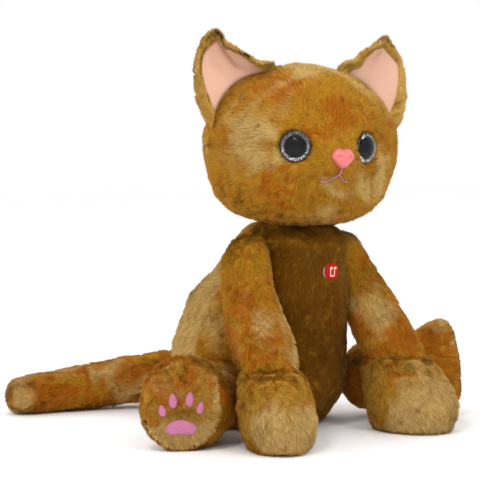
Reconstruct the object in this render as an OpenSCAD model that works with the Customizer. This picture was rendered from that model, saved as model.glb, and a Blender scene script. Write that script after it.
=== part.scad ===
// Seated plush cat with a press-to-play sound button, millimetres, +Z up.
// The origin is on the floor under the neck; the cat faces -Y and its left side is +X.

/* [Torso] */
// Half-width of the hips
hip_half_width = 70; // [64:1:76]
// Half-width of the chest between the arms
chest_half_width = 41; // [38:1:43]
// Height of the collar seam
collar_height = 160; // [158:1:164]
// How far the seat sits behind the neck
seat_back = 40; // [36:1:44]

/* [Head] */
// Half-width of the head
head_a = 79; // [74:1:82]
// Half-depth of the head without the muzzle
head_b = 66; // [62:1:69]
// Half-height of the head
head_c = 64; // [60:1:67]
// Height of the head's middle above the neck's centre
head_rise = 72; // [71:0.5:74]
// Turn of the head to the cat's right
head_yaw = -15.5; // [-20:0.5:0]
// Tilt of the head to the cat's left
head_roll = 1.5; // [0:0.5:4]
// Nod of the head forward at rest
head_pitch = 3; // [0:0.5:5]
// How far the muzzle stands out
muzzle_len = 15; // [8:1:18]
// Diameter of an eye
eye_d = 24; // [20:1:25]

/* [Ears] */
// Height of an ear above the middle of its base
ear_height = 50; // [40:1:56]

/* [Limbs] */
// Turn of the left leg out from straight ahead
leg_left_az = 66; // [62:1:68]
// Turn of the right leg out from straight ahead
leg_right_az = -61; // [-66:1:-60]
// Length of a leg from hip centre to sole
leg_length = 72; // [66:1:76]
// Turn of a front paw outwards
paw_splay = 30; // [20:1:34]

/* [Tail] */
// Radius of the tail at its root
tail_root_r = 20; // [17:1:21]
// Radius of the tail at its tip
tail_tip_r = 15; // [12:1:18]

/* [Cloth] */
// Thickness of the fur cloth with its pile pressed flat
cloth = 3; // [2:0.5:3.5]
// Room between the cloth and the wadding
ease = 0.6; // [0.5:0.1:1]

/* [Sound module] */
// Width of the sound case
case_w = 40; // [36:1:40]
// Height of the sound case
case_h = 33; // [32:1:34]
// Diameter of the round patch that covers the button
patch_d = 14; // [12:0.5:14.5]

/* [Hidden] */
$fn = 48;

// Sides of a torso ring, of a limb ring and of a head slice
torso_n = 36;
limb_n = 18;
head_n = 32;

// Neck: a ball of wadding that the collar and the head both close round
neck_centre = [0, -2, 156];
neck_r = 24;
neck_pocket_r = 25;
// Middle of the head in the neck's turned frame
head_forward = 8;
// Half-width of the forehead gusset and of the chin panel
gusset_half = 27;

// Torso outline, one row for each seam height: height, middle in y, half-width, half-depth
torso_rows = [
    [2, seat_back + 1, hip_half_width - 19, 50],
    [12, seat_back + 1, hip_half_width - 8, 62],
    [34, seat_back + 1, hip_half_width - 1, 71],
    [60, seat_back + 2, hip_half_width - 1, 74],
    [84, 36, hip_half_width - 11, 76],
    [104, 29, chest_half_width + 10, 77],
    [122, 17, chest_half_width + 2, 67],
    [140, 8, chest_half_width - 3, 57],
    [152, 0, chest_half_width - 7, 44],
    [collar_height, -1, chest_half_width - 10, 36]
];

// Hip, where a leg's round end turns
hip_left_out = 92;
hip_right_out = 80;
function hip_out(az) = az > 0 ? hip_left_out : hip_right_out;
hip_r = 27;
hip_z = 34;
leg_left_lift = 8;
leg_right_lift = 0;
leg_left_toe = -10;
leg_right_toe = 28;

// Tail root and the middle line of the tail
tail_root = [0, 119, 24];
tail_path = [
    [0, 119, 24], [-14, 133, 21.5], [-32, 148, 19.4], [-56, 161, 18],
    [-84, 171, 17.2], [-112, 179, 16.4], [-136, 184, 15.4], [-150, 186.5, 14.6]
];

// Sound case and button
case_front_y = -35;
case_back_y = -22;
case_split_y = -29;
case_mid_z = 119;
case_wall = 1.2;
button_z = 130;
button_y = -51.4;

// Weighted bag in the seat
bag_r = 41;
bag_h = 20;

// Eye centre and facing in the head's frame
eye_place = [29.4, -61, 3];
eye_turn = 33;
eye_sink = 1.2;

function reverse(list) = [for (i = [len(list) - 1:-1:0]) list[i]];

// Level oval ring, counted anticlockwise from above
function oval(centre, rx, ry, yaw, n) = [
    for (i = [0:n - 1])
        let (t = 360 * i / n)
        centre + [
            rx * cos(t) * cos(yaw) - ry * sin(t) * sin(yaw),
            rx * cos(t) * sin(yaw) + ry * sin(t) * cos(yaw),
            0
        ]
];

// Closed solid through a list of rings
module loft(rings) {
    n = len(rings[0]);
    m = len(rings);
    sides = [
        for (j = [0:m - 2], i = [0:n - 1])
            let (a = j * n + i, b = j * n + (i + 1) % n)
            each [[a, a + n, b], [b, a + n, b + n]]
    ];
    ends = [[for (i = [0:n - 1]) i], [for (i = [n - 1:-1:0]) (m - 1) * n + i]];
    polyhedron(points = [for (r = rings) each r], faces = concat(sides, ends), convexity = 8);
}

// Cloth cup: closed at its first ring, open at its last
module cup(outer, inner) {
    loft(concat(outer, reverse(inner)));
}

// Cloth cap: open at its first ring, closed at its last
module cap(outer, inner) {
    loft(concat(reverse(inner), outer));
}

// Cloth patch between an outer and an inner grid of points
module patch(outer, inner) {
    n = len(outer[0]);
    m = len(outer);
    k = m * n;
    faces = concat(
        [for (j = [0:m - 2], i = [0:n - 2]) let (a = j * n + i)
            each [[a, a + n, a + 1], [a + 1, a + n, a + n + 1],
                [k + a, k + a + 1, k + a + n], [k + a + 1, k + a + n + 1, k + a + n]]],
        [for (i = [0:n - 2]) each [[i, i + 1, k + i + 1], [i, k + i + 1, k + i]]],
        [for (i = [0:n - 2]) let (c = (m - 1) * n + i)
            each [[c + 1, c, k + c], [c + 1, k + c, k + c + 1]]],
        [for (j = [0:m - 2]) let (a = j * n)
            each [[a + n, a, k + a], [a + n, k + a, k + a + n]]],
        [for (j = [0:m - 2]) let (b = j * n + n - 1)
            each [[b, b + n, k + b + n], [b, k + b + n, k + b]]]
    );
    polyhedron(
        points = concat([for (r = outer) each r], [for (r = inner) each r]),
        faces = faces, convexity = 8);
}

// ---- Torso ----

function torso_panel_row(row, inset, from, to) =
    [for (t = [from:360 / torso_n:to]) [
        (row[2] - inset) * sin(t),
        row[1] - (row[3] - inset) * cos(t),
        row[0]
    ]];

module torso_panel(from, to) {
    patch(
        [for (r = torso_rows) torso_panel_row(r, 0, from, to)],
        [for (r = torso_rows) torso_panel_row(r, cloth, from, to)]);
}

// Room in the torso for the round ends of the legs and the tail
module limb_sockets() {
    for (az = [leg_left_az, leg_right_az])
        translate([hip_out(az) * sin(az), seat_back + 1 - hip_out(az) * cos(az), hip_z])
            sphere(r = hip_r + 1.4);
    translate(tail_root) sphere(r = tail_root_r + 1.4);
}

module torso_front_panel() {
    color("darkgoldenrod") difference() {
        torso_panel(-50, 50);
        limb_sockets();
        translate([0, -30, button_z]) rotate([90, 0, 0]) cylinder(d = patch_d + 1.2, h = 40);
    }
}

module torso_back_left_panel() {
    color("goldenrod") difference() {
        torso_panel(50, 180);
        limb_sockets();
    }
}

module torso_back_right_panel() {
    color("peru") difference() {
        torso_panel(180, 310);
        limb_sockets();
    }
}

module seat_panel() {
    row = torso_rows[0];
    color("peru") linear_extrude(row[0])
        polygon([for (t = [0:360 / torso_n:359]) [row[2] * sin(t), row[1] - row[3] * cos(t)]]);
}

module torso_fill() {
    top = collar_height;
    color("white") difference() {
        loft([for (r = torso_rows)
            oval([0, r[1], r[0]], r[2] - cloth - ease, r[3] - cloth - ease, 0, torso_n)]);
        limb_sockets();
        translate([0, seat_back, 0]) cylinder(r = bag_r + 0.4, h = bag_h + 2.8);
        translate([neck_centre[0], neck_centre[1], neck_centre[2] - neck_pocket_r])
            cylinder(r = neck_pocket_r, h = top);
        translate([-case_w / 2 - 0.4, -90, case_mid_z - case_h / 2 - 0.4])
            cube([case_w + 0.8, 91 + case_back_y, case_h + 0.8]);
    }
}

module pellet_bag() {
    color("ivory") translate([0, seat_back, 2.1]) cylinder(r = bag_r, h = bag_h);
}

// ---- Sound module ----

// Box centred on the case in x and z, between two y values
module case_box(w, h, y0, y1) {
    translate([-w / 2, y0, case_mid_z - h / 2]) cube([w, y1 - y0, h]);
}

module sound_case_front() {
    color("whitesmoke") difference() {
        case_box(case_w, case_h, case_front_y, case_split_y);
        case_box(case_w - 2 * case_wall, case_h - 2 * case_wall,
            case_front_y + case_wall, case_split_y + 1);
        translate([0, case_front_y + 2, button_z]) rotate([90, 0, 0]) cylinder(r = 3.9, h = 4);
        for (x = [-6:3:6])
            translate([x, case_front_y + 2, case_mid_z - 6]) rotate([90, 0, 0])
                cylinder(r = 0.8, h = 4, $fn = 24);
    }
}

module sound_case_back() {
    color("gainsboro") difference() {
        case_box(case_w, case_h, case_split_y, case_back_y);
        case_box(case_w - 2 * case_wall, case_h - 2 * case_wall,
            case_split_y - 1, case_back_y - case_wall);
        case_box(case_w - 6, 15, case_back_y - 2, case_back_y + 1);
    }
}

module battery_door() {
    color("gainsboro") difference() {
        case_box(case_w - 6.4, 14.6, case_back_y - case_wall, case_back_y);
        translate([13.5, case_back_y + 1, case_mid_z]) rotate([90, 0, 0])
            cylinder(r = 1.2, h = 4, $fn = 24);
    }
}

module battery_door_screw() {
    color("silver") translate([13.5, case_back_y + 0.3, case_mid_z]) rotate([90, 0, 0]) {
        translate([0, 0, -0.3]) cylinder(r = 1.9, h = 0.6, $fn = 24);
        cylinder(r = 1, h = 4.2, $fn = 24);
    }
}

module button_cells() {
    for (x = [-13, 0])
        color("silver") translate([x, case_back_y - case_wall - 0.1, case_mid_z]) rotate([90, 0, 0])
            cylinder(r = 5.8, h = 3);
}

module circuit_board() {
    color("seagreen") case_box(case_w - 4, case_h - 4, case_split_y - 0.6, case_split_y + 0.6);
}

module speaker() {
    color("dimgray") translate([0, case_split_y - 0.7, case_mid_z - 6]) rotate([90, 0, 0])
        cylinder(r = 8.6, h = 3.8);
}

module button_plunger() {
    color("whitesmoke") translate([0, button_y + 2.6, button_z]) rotate([90, 0, 0]) {
        cylinder(d = patch_d - 0.6, h = 1.4);
        translate([0, 0, -14.6]) cylinder(r = 3.5, h = 14.6);
    }
}

module music_patch() {
    color("firebrick") translate([0, button_y + 1.2, button_z]) rotate([90, 0, 0])
        cylinder(d = patch_d, h = 1.2);
}

module music_note() {
    color("mistyrose") translate([0, button_y, button_z]) rotate([90, 0, 0]) linear_extrude(0.5) {
        for (x = [-2, 2]) {
            translate([x + 0.7, 2.9]) circle(r = 1.3, $fn = 24);
            translate([x - 0.6, -3.4]) square([0.9, 6.3]);
        }
        translate([-2.6, -4]) square([4.9, 1.4]);
    }
}

// ---- Head ----

module neck_fill() {
    color("white") translate(neck_centre) sphere(r = neck_r);
}

module in_head() {
    translate(neck_centre) rotate([head_pitch, head_roll, head_yaw])
        translate([0, -head_forward, head_rise]) children();
}

// How far the muzzle swells the face at a place on it
function muzzle(x, z) = muzzle_len * exp(-pow(x / 22, 2)) * exp(-pow((z + 8) / 17, 2));

// Point of the head at x and at angle w round it: 0 is the face, 90 the crown
function head_point(x, w, inset) =
    let (
        a = head_a - inset, b = head_b - inset, c = head_c - inset,
        g = sqrt(max(0, 1 - pow(x / head_a, 2))),
        z = c * g * sin(w)
    )
    [x * a / head_a, -b * g * cos(w) - (cos(w) > 0 ? muzzle(x, z) : 0), z];

// Slice of the head, anticlockwise as seen from +X
function head_slice(x, inset) =
    [for (i = [0:head_n - 1]) head_point(x, 180 - 360 * i / head_n, inset)];

// Bore for the neck ball, and the seats of the eyes and the nose, in the head's frame
module head_cuts() {
    translate([0, head_forward, -head_rise - 30]) cylinder(r = neck_pocket_r, h = 30 + neck_pocket_r);
    for (side = [0, 1]) mirror([side, 0, 0]) eye_frame() {
        translate([0, 0, -eye_sink - 1.9]) cylinder(d = eye_d + 0.8, h = 20);
        translate([0, 0, -15]) cylinder(r = 9.4, h = 15);
    }
    nose_frame() {
        translate([0, 0, -13]) cylinder(r = 2.8, h = 20, $fn = 32);
        translate([0, 0, -13]) cylinder(r = 6.4, h = 9);
    }
}

module head_left_panel() {
    xs = [gusset_half, 36, 46, 56, 65, 72, 76.5, 78.6] * head_a / 79;
    color("darkgoldenrod") in_head() difference() {
        cap([for (x = xs) head_slice(x, 0)], [for (x = xs) head_slice(x, cloth)]);
        head_cuts();
    }
}

module head_right_panel() {
    xs = [gusset_half, 36, 46, 56, 65, 72, 76.5, 78.6] * head_a / 79;
    color("goldenrod") in_head() difference() {
        mirror([1, 0, 0])
            cap([for (x = xs) head_slice(x, 0)], [for (x = xs) head_slice(x, cloth)]);
        head_cuts();
    }
}

// Strip of the head between the two side panels, from angle w0 to w1
module head_strip(w0, w1, step) {
    xs = [for (i = [-3:3]) i * (gusset_half - 0.6) / 3];
    ws = [for (w = [w0:step:w1]) w];
    patch(
        [for (w = ws) [for (x = xs) head_point(x, w, 0)]],
        [for (w = ws) [for (x = xs) head_point(x, w, cloth)]]);
}

module head_gusset() {
    color("orange") in_head() difference() {
        head_strip(-5, 235, 10);
        head_cuts();
    }
}

module chin_panel() {
    color("burlywood") in_head() difference() {
        head_strip(-125, -5, 10);
        head_cuts();
    }
}

module head_fill() {
    end = head_a - 1.5;
    xs = [for (i = [-7:7]) end * sin(i * 90 / 7) * (abs(i) == 7 ? 0.998 : 1)];
    color("white") in_head() difference() {
        loft([for (x = xs) head_slice(x, cloth + 2.6 * ease)]);
        head_cuts();
    }
}

module eye_frame() {
    translate(eye_place) rotate([90, 0, eye_turn]) children();
}

// Round eye part on one side, from a height above the seat
module eye_part(side, from) {
    in_head() mirror([side, 0, 0]) eye_frame() translate([0, 0, from - eye_sink]) children();
}

module eye_base(side) {
    color("black") eye_part(side, 0) {
        difference() {
            cylinder(d = eye_d, h = 2);
            translate([0, 0, 1.2]) cylinder(d = eye_d - 1.6, h = 2);
        }
        translate([0, 0, -9]) cylinder(r = 2.4, h = 9.1, $fn = 32);
    }
}

module eye_iris(side) {
    color("silver") eye_part(side, 1.2) difference() {
        cylinder(d = eye_d - 1.8, h = 0.8);
        translate([0, 0, -1]) cylinder(d = 0.7 * eye_d, h = 3);
    }
}

module eye_pupil(side) {
    color("black") eye_part(side, 1.2) cylinder(d = 0.7 * eye_d - 0.1, h = 0.8);
}

module eye_dome(side) {
    r = 14.5;
    color("lightsteelblue", 0.5) eye_part(side, 2) intersection() {
        translate([0, 0, 6 - r]) sphere(r = r, $fn = 96);
        cylinder(d = eye_d, h = 8);
    }
}

module eye_washer(side) {
    color("white") eye_part(side, -6.5) difference() {
        cylinder(r = 9, h = 1.6);
        translate([0, 0, -1]) cylinder(r = 2.45, h = 4, $fn = 32);
    }
}

module eye_left_base() { eye_base(0); }
module eye_left_iris() { eye_iris(0); }
module eye_left_pupil() { eye_pupil(0); }
module eye_left_dome() { eye_dome(0); }
module eye_left_washer() { eye_washer(0); }
module eye_right_base() { eye_base(1); }
module eye_right_iris() { eye_iris(1); }
module eye_right_pupil() { eye_pupil(1); }
module eye_right_dome() { eye_dome(1); }
module eye_right_washer() { eye_washer(1); }

module nose_frame() {
    z = -3;
    translate([0, head_point(0, asin(z / head_c), 0)[1], z]) rotate([90, 0, 0]) children();
}

module nose() {
    color("lightcoral") in_head() nose_frame() {
        translate([0, 0, 4.3]) hull() {
            for (x = [-4.6, 4.6]) translate([x, 3.6, 0]) sphere(r = 4.4, $fn = 24);
            translate([0, -5.2, 0]) sphere(r = 3, $fn = 24);
        }
        translate([0, 0, -10]) cylinder(r = 2.4, h = 11, $fn = 32);
    }
}

module nose_washer() {
    color("white") in_head() nose_frame() translate([0, 0, -8.5]) difference() {
        cylinder(r = 6, h = 1.6);
        translate([0, 0, -1]) cylinder(r = 2.45, h = 4, $fn = 32);
    }
}

// Mouth line: x runs from -1 at the right corner to 1 at the left
mouth_half = 12;
thread_r = 0.6;
function mouth_point(s) =
    let (z = -16.5 - 6 * sin(112 * abs(s)), x = mouth_half * s, w = asin(z / head_c))
    head_point(x, w, -thread_r - 2.5);

module mouth_thread() {
    ends = 12;
    points = [for (i = [-ends:ends]) mouth_point(i / ends)];
    rings = [for (p = points) [for (i = [0:7])
        let (t = 45 * i) p + thread_r * [0, cos(t), sin(t)]]];
    color("plum") in_head() {
        loft(rings);
        translate(mouth_point(0) + [0, -0.6, 0.6]) cylinder(r = thread_r, h = 3, $fn = 16);
    }
}

// ---- Ears ----

ear_inner = [26, 1, 60];
ear_outer = [76, 1, 17];
ear_tip = [74, 5, 60 + ear_height / 2];
ear_rows = 8;
ear_cols = 8;

// Point of an ear: s from 0 at the inner end of its base to 1 at the outer, t up to the tip
function ear_point(s, t, width, back) =
    let (
        middle = (ear_inner + ear_outer) / 2,
        half = (ear_outer - ear_inner) / 2,
        up = ear_tip - middle,
        q = 2 * s - 1,
        spread = width * pow(1 - pow(t, 2.1), 0.62),
        arch = (1 - q * q) * 12 * (1 - t)
    )
    middle + q * spread * half + up * t + [0.65, 0, 0.76] * (arch + 2.2)
        + [0, back - 8 * q * q * (1 - 0.6 * t) + 4 * t, 0];

module ear_sheet(width, t0, t1, front, rear) {
    ss = [for (i = [0:ear_cols]) i / ear_cols];
    ts = [for (i = [0:ear_rows]) t0 + (t1 - t0) * i / ear_rows];
    patch(
        [for (t = ts) [for (s = ss) ear_point(s, t, width, front)]],
        [for (t = ts) [for (s = ss) ear_point(s, t, width, rear)]]);
}

module ear_back(side) {
    color("goldenrod") in_head() mirror([side, 0, 0]) ear_sheet(1, 0, 0.985, -1, 4.5);
}

module ear_lining(side) {
    color("peachpuff") in_head() mirror([side, 0, 0]) ear_sheet(0.8, 0.04, 0.86, -2.7, -1.1);
}

module ear_left_back() { ear_back(0); }
module ear_left_lining() { ear_lining(0); }
module ear_right_back() { ear_back(1); }
module ear_right_lining() { ear_lining(1); }

// ---- Arms ----

// One row for each height: height, x, y, half-width, half-length
arm_rows = [
    [0, 68, -71, 19, 27], [7, 68, -71, 25.5, 34], [25, 68, -69, 28.5, 36.5],
    [43, 66, -61, 26, 30.5], [56, 64, -53, 23.5, 25.5], [78, 62.5, -42, 24, 25],
    [100, 60.5, -30, 21, 22.5], [120, 58.5, -19, 19.2, 20.5], [138, 58, -11, 19, 19],
    [148, 58, -11, 16, 16], [154, 58, -11, 10.4, 10.4], [156.8, 58, -11, 3, 3]
];
wrist_row = 4;
arm_last = len(arm_rows) - 1;

function arm_ring(i, inset) =
    let (
        r = arm_rows[i],
        end = i == 0 ? inset : i == arm_last ? -inset : 0,
        rx = max(r[3] - inset, 1.2), ry = max(r[4] - inset, 1.2)
    )
    oval([r[1], r[2], r[0] + end], rx, ry, paw_splay, limb_n);

module on_side(side) {
    mirror([side, 0, 0]) children();
}

module arm_sleeve(side) {
    color("tan") on_side(side) cap(
        [for (i = [wrist_row:arm_last]) arm_ring(i, 0)],
        [for (i = [wrist_row:arm_last]) arm_ring(i, cloth)]);
}

module paw_cover(side) {
    color("wheat") on_side(side) cup(
        [for (i = [0:wrist_row]) arm_ring(i, 0)],
        [for (i = [0:wrist_row]) arm_ring(i, cloth)]);
}

module arm_fill(side) {
    color("white") on_side(side) loft([for (i = [0:arm_last]) arm_ring(i, cloth + ease)]);
}

module arm_left_sleeve() { arm_sleeve(0); }
module paw_left_cover() { paw_cover(0); }
module arm_left_fill() { arm_fill(0); }
module arm_right_sleeve() { arm_sleeve(1); }
module paw_right_cover() { paw_cover(1); }
module arm_right_fill() { arm_fill(1); }

// ---- Legs ----

// One row for each distance from the hip: distance, half-width, half-height, middle height
leg_rows = [
    [-26.6, 4, 4, hip_z], [-23, 14, 14, hip_z], [-14, 23, 23, hip_z], [0, hip_r, hip_r, hip_z],
    [18, 26.5, 27, hip_z - 1], [36, 27, 29, 32], [50, 30, 34, 34], [60, 32.5, 36.5, 35.5],
    [leg_length - 3, 31.5, 35.5, 35.5]
];

module leg_frame(az, lift) {
    translate([hip_out(az) * sin(az), seat_back + 1 - hip_out(az) * cos(az), hip_z]) rotate([0, 0, az])
        rotate([-lift, 0, 0]) translate([0, 0, -hip_z]) children();
}

// Ring across the leg, anticlockwise as seen from the foot, flat where it meets the floor
function leg_ring(row, inset, toe) =
    let (
        share = max(0, min(1, (row[0] - 30) / (leg_length - 33))),
        yaw = toe * share,
        a = max(row[1] - inset, 1.2), b = max(row[2] - inset, 1.2)
    )
    [for (i = [0:limb_n - 1]) let (t = 360 * i / limb_n) [
        a * cos(t) * cos(yaw),
        -row[0] - (row[0] < 0 ? inset * 0.9 : 0) + a * cos(t) * sin(yaw),
        max(inset, row[3] + b * sin(t))
    ]];

module leg_cover(az, lift, toe) {
    leg_frame(az, lift) cup(
        [for (r = leg_rows) leg_ring(r, 0, toe)],
        [for (r = leg_rows) leg_ring(r, cloth, toe)]);
}

module leg_fill(az, lift, toe) {
    leg_frame(az, lift) translate([0, ease / 2, 0])
        loft([for (r = leg_rows) leg_ring(r, cloth + ease, toe)]);
}

// Frame on the flat of the sole: +Z out of the foot, +Y up
module sole_frame(az, lift, toe) {
    last = leg_rows[len(leg_rows) - 1];
    leg_frame(az, lift) translate([0, -last[0], 0]) rotate([0, 0, toe]) rotate([90, 0, 0]) children();
}

module sole(az, lift, toe) {
    last = leg_rows[len(leg_rows) - 1];
    sole_frame(az, lift, toe) linear_extrude(3)
        polygon([for (i = [0:limb_n * 2 - 1]) let (t = 180 * i / limb_n)
            [last[1] * cos(t), max(0, last[3] + last[2] * sin(t))]]);
}

// Bean and four toe pads, 0.8 mm proud of the sole
toe_pads = [[-15, 33, 3.2, 5.2], [-6.5, 40.5, 3.6, 6.4], [6.5, 41.5, 3.6, 6.4], [15, 35, 3.2, 5.2]];

module sole_pads(az, lift, toe) {
    sole_frame(az, lift, toe) translate([0, 0, 3]) linear_extrude(0.8) {
        polygon([for (i = [0:35]) let (t = 10 * i)
            [13 * cos(t), 18 + 7.5 * sin(t) + (t > 180 ? 1.6 * cos(2 * t) : 0)]]);
        for (p = toe_pads)
            translate([p[0], p[1]]) rotate(-p[0] * 0.8)
                polygon([for (i = [0:23]) [p[2] * cos(15 * i), p[3] * sin(15 * i)]]);
    }
}

module leg_left_cover() {
    color("goldenrod") leg_cover(leg_left_az, leg_left_lift, leg_left_toe);
}
module leg_left_fill() {
    color("white") leg_fill(leg_left_az, leg_left_lift, leg_left_toe);
}
module sole_left() {
    color("wheat") sole(leg_left_az, leg_left_lift, leg_left_toe);
}
module sole_left_pads() {
    color("palevioletred") sole_pads(leg_left_az, leg_left_lift, leg_left_toe);
}
module leg_right_cover() {
    color("goldenrod") leg_cover(leg_right_az, leg_right_lift, leg_right_toe);
}
module leg_right_fill() {
    color("white") leg_fill(leg_right_az, leg_right_lift, leg_right_toe);
}
module sole_right() {
    color("wheat") sole(leg_right_az, leg_right_lift, leg_right_toe);
}
module sole_right_pads() {
    color("palevioletred") sole_pads(leg_right_az, leg_right_lift, leg_right_toe);
}

// ---- Tail ----

tail_last = len(tail_path) - 1;

// Ring across the tail at a path point, flat where it lies on the floor
function tail_ring(i, inset) =
    let (
        a = tail_path[max(i - 1, 0)], b = tail_path[min(i + 1, tail_last)],
        d = b - a,
        heading = atan2(d[1], d[0]),
        r = tail_root_r + (tail_tip_r - tail_root_r) * i / tail_last - inset
    )
    across(tail_path[i], heading, r, inset);

function across(p, heading, r, inset) = [
    for (k = [0:limb_n - 1])
        let (t = 360 * k / limb_n)
        [p[0] - r * cos(t) * sin(heading), p[1] + r * cos(t) * cos(heading),
            max(inset, p[2] + r * sin(t))]
];

// Rounded end beyond a path point
function tail_end(i, sign, inset) =
    let (
        a = tail_path[max(i - 1, 0)], b = tail_path[min(i + 1, tail_last)],
        d = b - a,
        heading = atan2(d[1], d[0]),
        r = (i == 0 ? tail_root_r : tail_tip_r) - inset
    )
    [for (e = [30, 55, 75])
        across(tail_path[i] + sign * r * sin(e) * [cos(heading), sin(heading), 0],
            heading, r * cos(e), inset)];

function tail_rings(inset) = concat(
    reverse(tail_end(0, -1, inset)),
    [for (i = [0:tail_last]) tail_ring(i, inset)],
    tail_end(tail_last, 1, inset));

module tail_cover() {
    outer = tail_rings(0);
    inner = tail_rings(cloth);
    color("peru") loft(concat(outer, reverse(inner)));
}

module tail_fill() {
    color("white") loft(tail_rings(cloth + ease));
}

torso_front_panel();
torso_back_left_panel();
torso_back_right_panel();
seat_panel();
torso_fill();
pellet_bag();
sound_case_front();
sound_case_back();
battery_door();
battery_door_screw();
button_cells();
circuit_board();
speaker();
button_plunger();
music_patch();
music_note();
neck_fill();
head_left_panel();
head_right_panel();
head_gusset();
chin_panel();
head_fill();
eye_left_base();
eye_left_iris();
eye_left_pupil();
eye_left_dome();
eye_left_washer();
eye_right_base();
eye_right_iris();
eye_right_pupil();
eye_right_dome();
eye_right_washer();
nose();
nose_washer();
mouth_thread();
ear_left_back();
ear_left_lining();
ear_right_back();
ear_right_lining();
arm_left_sleeve();
paw_left_cover();
arm_left_fill();
arm_right_sleeve();
paw_right_cover();
arm_right_fill();
leg_left_cover();
leg_left_fill();
sole_left();
sole_left_pads();
leg_right_cover();
leg_right_fill();
sole_right();
sole_right_pads();
tail_cover();
tail_fill();
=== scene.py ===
import bpy
import math
import numpy as np
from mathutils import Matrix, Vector


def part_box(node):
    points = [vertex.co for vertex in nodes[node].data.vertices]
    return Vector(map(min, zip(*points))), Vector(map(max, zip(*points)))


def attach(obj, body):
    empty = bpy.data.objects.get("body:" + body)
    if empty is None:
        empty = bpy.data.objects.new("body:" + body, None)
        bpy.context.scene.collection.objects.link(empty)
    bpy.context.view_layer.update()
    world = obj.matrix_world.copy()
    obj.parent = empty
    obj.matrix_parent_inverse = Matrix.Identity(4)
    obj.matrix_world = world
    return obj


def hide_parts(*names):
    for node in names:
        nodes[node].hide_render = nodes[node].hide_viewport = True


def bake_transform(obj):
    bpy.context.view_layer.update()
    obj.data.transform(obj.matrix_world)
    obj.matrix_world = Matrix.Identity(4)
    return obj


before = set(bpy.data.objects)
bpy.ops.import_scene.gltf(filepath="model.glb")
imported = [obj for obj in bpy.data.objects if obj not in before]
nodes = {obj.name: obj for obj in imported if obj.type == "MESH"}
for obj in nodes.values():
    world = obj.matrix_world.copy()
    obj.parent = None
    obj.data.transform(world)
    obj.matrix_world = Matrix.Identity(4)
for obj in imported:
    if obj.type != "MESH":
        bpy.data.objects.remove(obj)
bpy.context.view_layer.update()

MM = 0.001
TURN = 2 * math.pi
CLOTH_CELL = 4          # fur cells across one cell of the backing cloth
FLOOR_GAP = 0.25        # mm that the lowest pile stays above the floor
SEAM_WIDTH = 2.2        # mm over which the pile cloth draws in towards its seam
UP = np.array([0.0, 0.0, 1.0])


# ---------------------------------------------------------------- measuring
def middle(node):
    low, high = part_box(node)
    return np.array((low + high) / 2) / MM


NECK = middle("neck_fill")
PATCH = middle("music_patch")
SEAT_BACK = middle("pellet_bag")[1]
HEAD_YAW, HEAD_ROLL, HEAD_NOD = math.radians(-15.5), math.radians(1.5), math.radians(3)
HEAD_FORWARD, HEAD_RISE = 8, 72
HEAD_A, HEAD_B, HEAD_C = 77.5, 65.5, 63.5   # half width, half depth, half height
HEAD_SPAN = 0.985                           # share of the half turn from ear pole to ear pole
GUSSET_HALF = 27.0
EYE_PLACE, EYE_TURN, EYE_R = np.array([29.4, -57.5, 3.0]), math.radians(34), 12.0
NOSE_Z = -3.0


def spin(axis, angle):
    c, s = math.cos(angle), math.sin(angle)
    if axis == "x":
        return np.array([[1, 0, 0], [0, c, -s], [0, s, c]])
    if axis == "y":
        return np.array([[c, 0, s], [0, 1, 0], [-s, 0, c]])
    return np.array([[c, -s, 0], [s, c, 0], [0, 0, 1]])


HEAD_TURN = spin("z", HEAD_YAW) @ spin("y", HEAD_ROLL) @ spin("x", HEAD_NOD)


def from_head(p):
    """Head's own millimetres to the toy's."""
    return (np.asarray(p) + [0, -HEAD_FORWARD, HEAD_RISE]) @ HEAD_TURN.T + NECK


def to_head(p):
    return (np.asarray(p) - NECK) @ HEAD_TURN - [0, -HEAD_FORWARD, HEAD_RISE]


def unit(v):
    return v / np.maximum(np.linalg.norm(v, axis=-1, keepdims=True), 1e-9)


def ease(low, high, x):
    t = np.clip((x - low) / (high - low), 0, 1)
    return t * t * (3 - 2 * t)


def bump(distance, width):
    return np.exp(-(distance / width) ** 2)


def along(rows, v):
    """Smooth curve through rows; v counts rows."""
    rows = np.asarray(rows, float)
    last = len(rows) - 1
    v = np.clip(np.asarray(v, float), 0, last)
    i = np.minimum(v.astype(int), last - 1)
    t = (v - i)[..., None]
    a, b, c, d = (rows[np.clip(i + k, 0, last)] for k in (-1, 0, 1, 2))
    return 0.5 * (2 * b + (c - a) * t + (2 * a - 5 * b + 4 * c - d) * t * t
                  + (3 * b - a - 3 * c + d) * t ** 3)


def lattice(i, j, k, seed):
    h = (i * 73856093) ^ (j * 19349663) ^ (k * 83492791) ^ (seed * 2654435761)
    h = (h ^ (h >> 13)) * 1274126177
    return ((h ^ (h >> 16)) & 65535) / 32767.5 - 1


def lumps(p, size, seed):
    """Smooth noise from -1 to 1, with lumps of about that many millimetres."""
    q = np.asarray(p, float) / size + 500
    i = np.floor(q).astype(np.int64)
    f = q - i
    f = f * f * (3 - 2 * f)
    total = 0
    for dx in (0, 1):
        for dy in (0, 1):
            for dz in (0, 1):
                w = ((f[..., 0] if dx else 1 - f[..., 0])
                     * (f[..., 1] if dy else 1 - f[..., 1])
                     * (f[..., 2] if dz else 1 - f[..., 2]))
                total = total + w * lattice(i[..., 0] + dx, i[..., 1] + dy, i[..., 2] + dz, seed)
    return total


def lump_vectors(p, size, seed):
    return np.stack([lumps(p, size, seed + 31 * k) for k in range(3)], -1)


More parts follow.
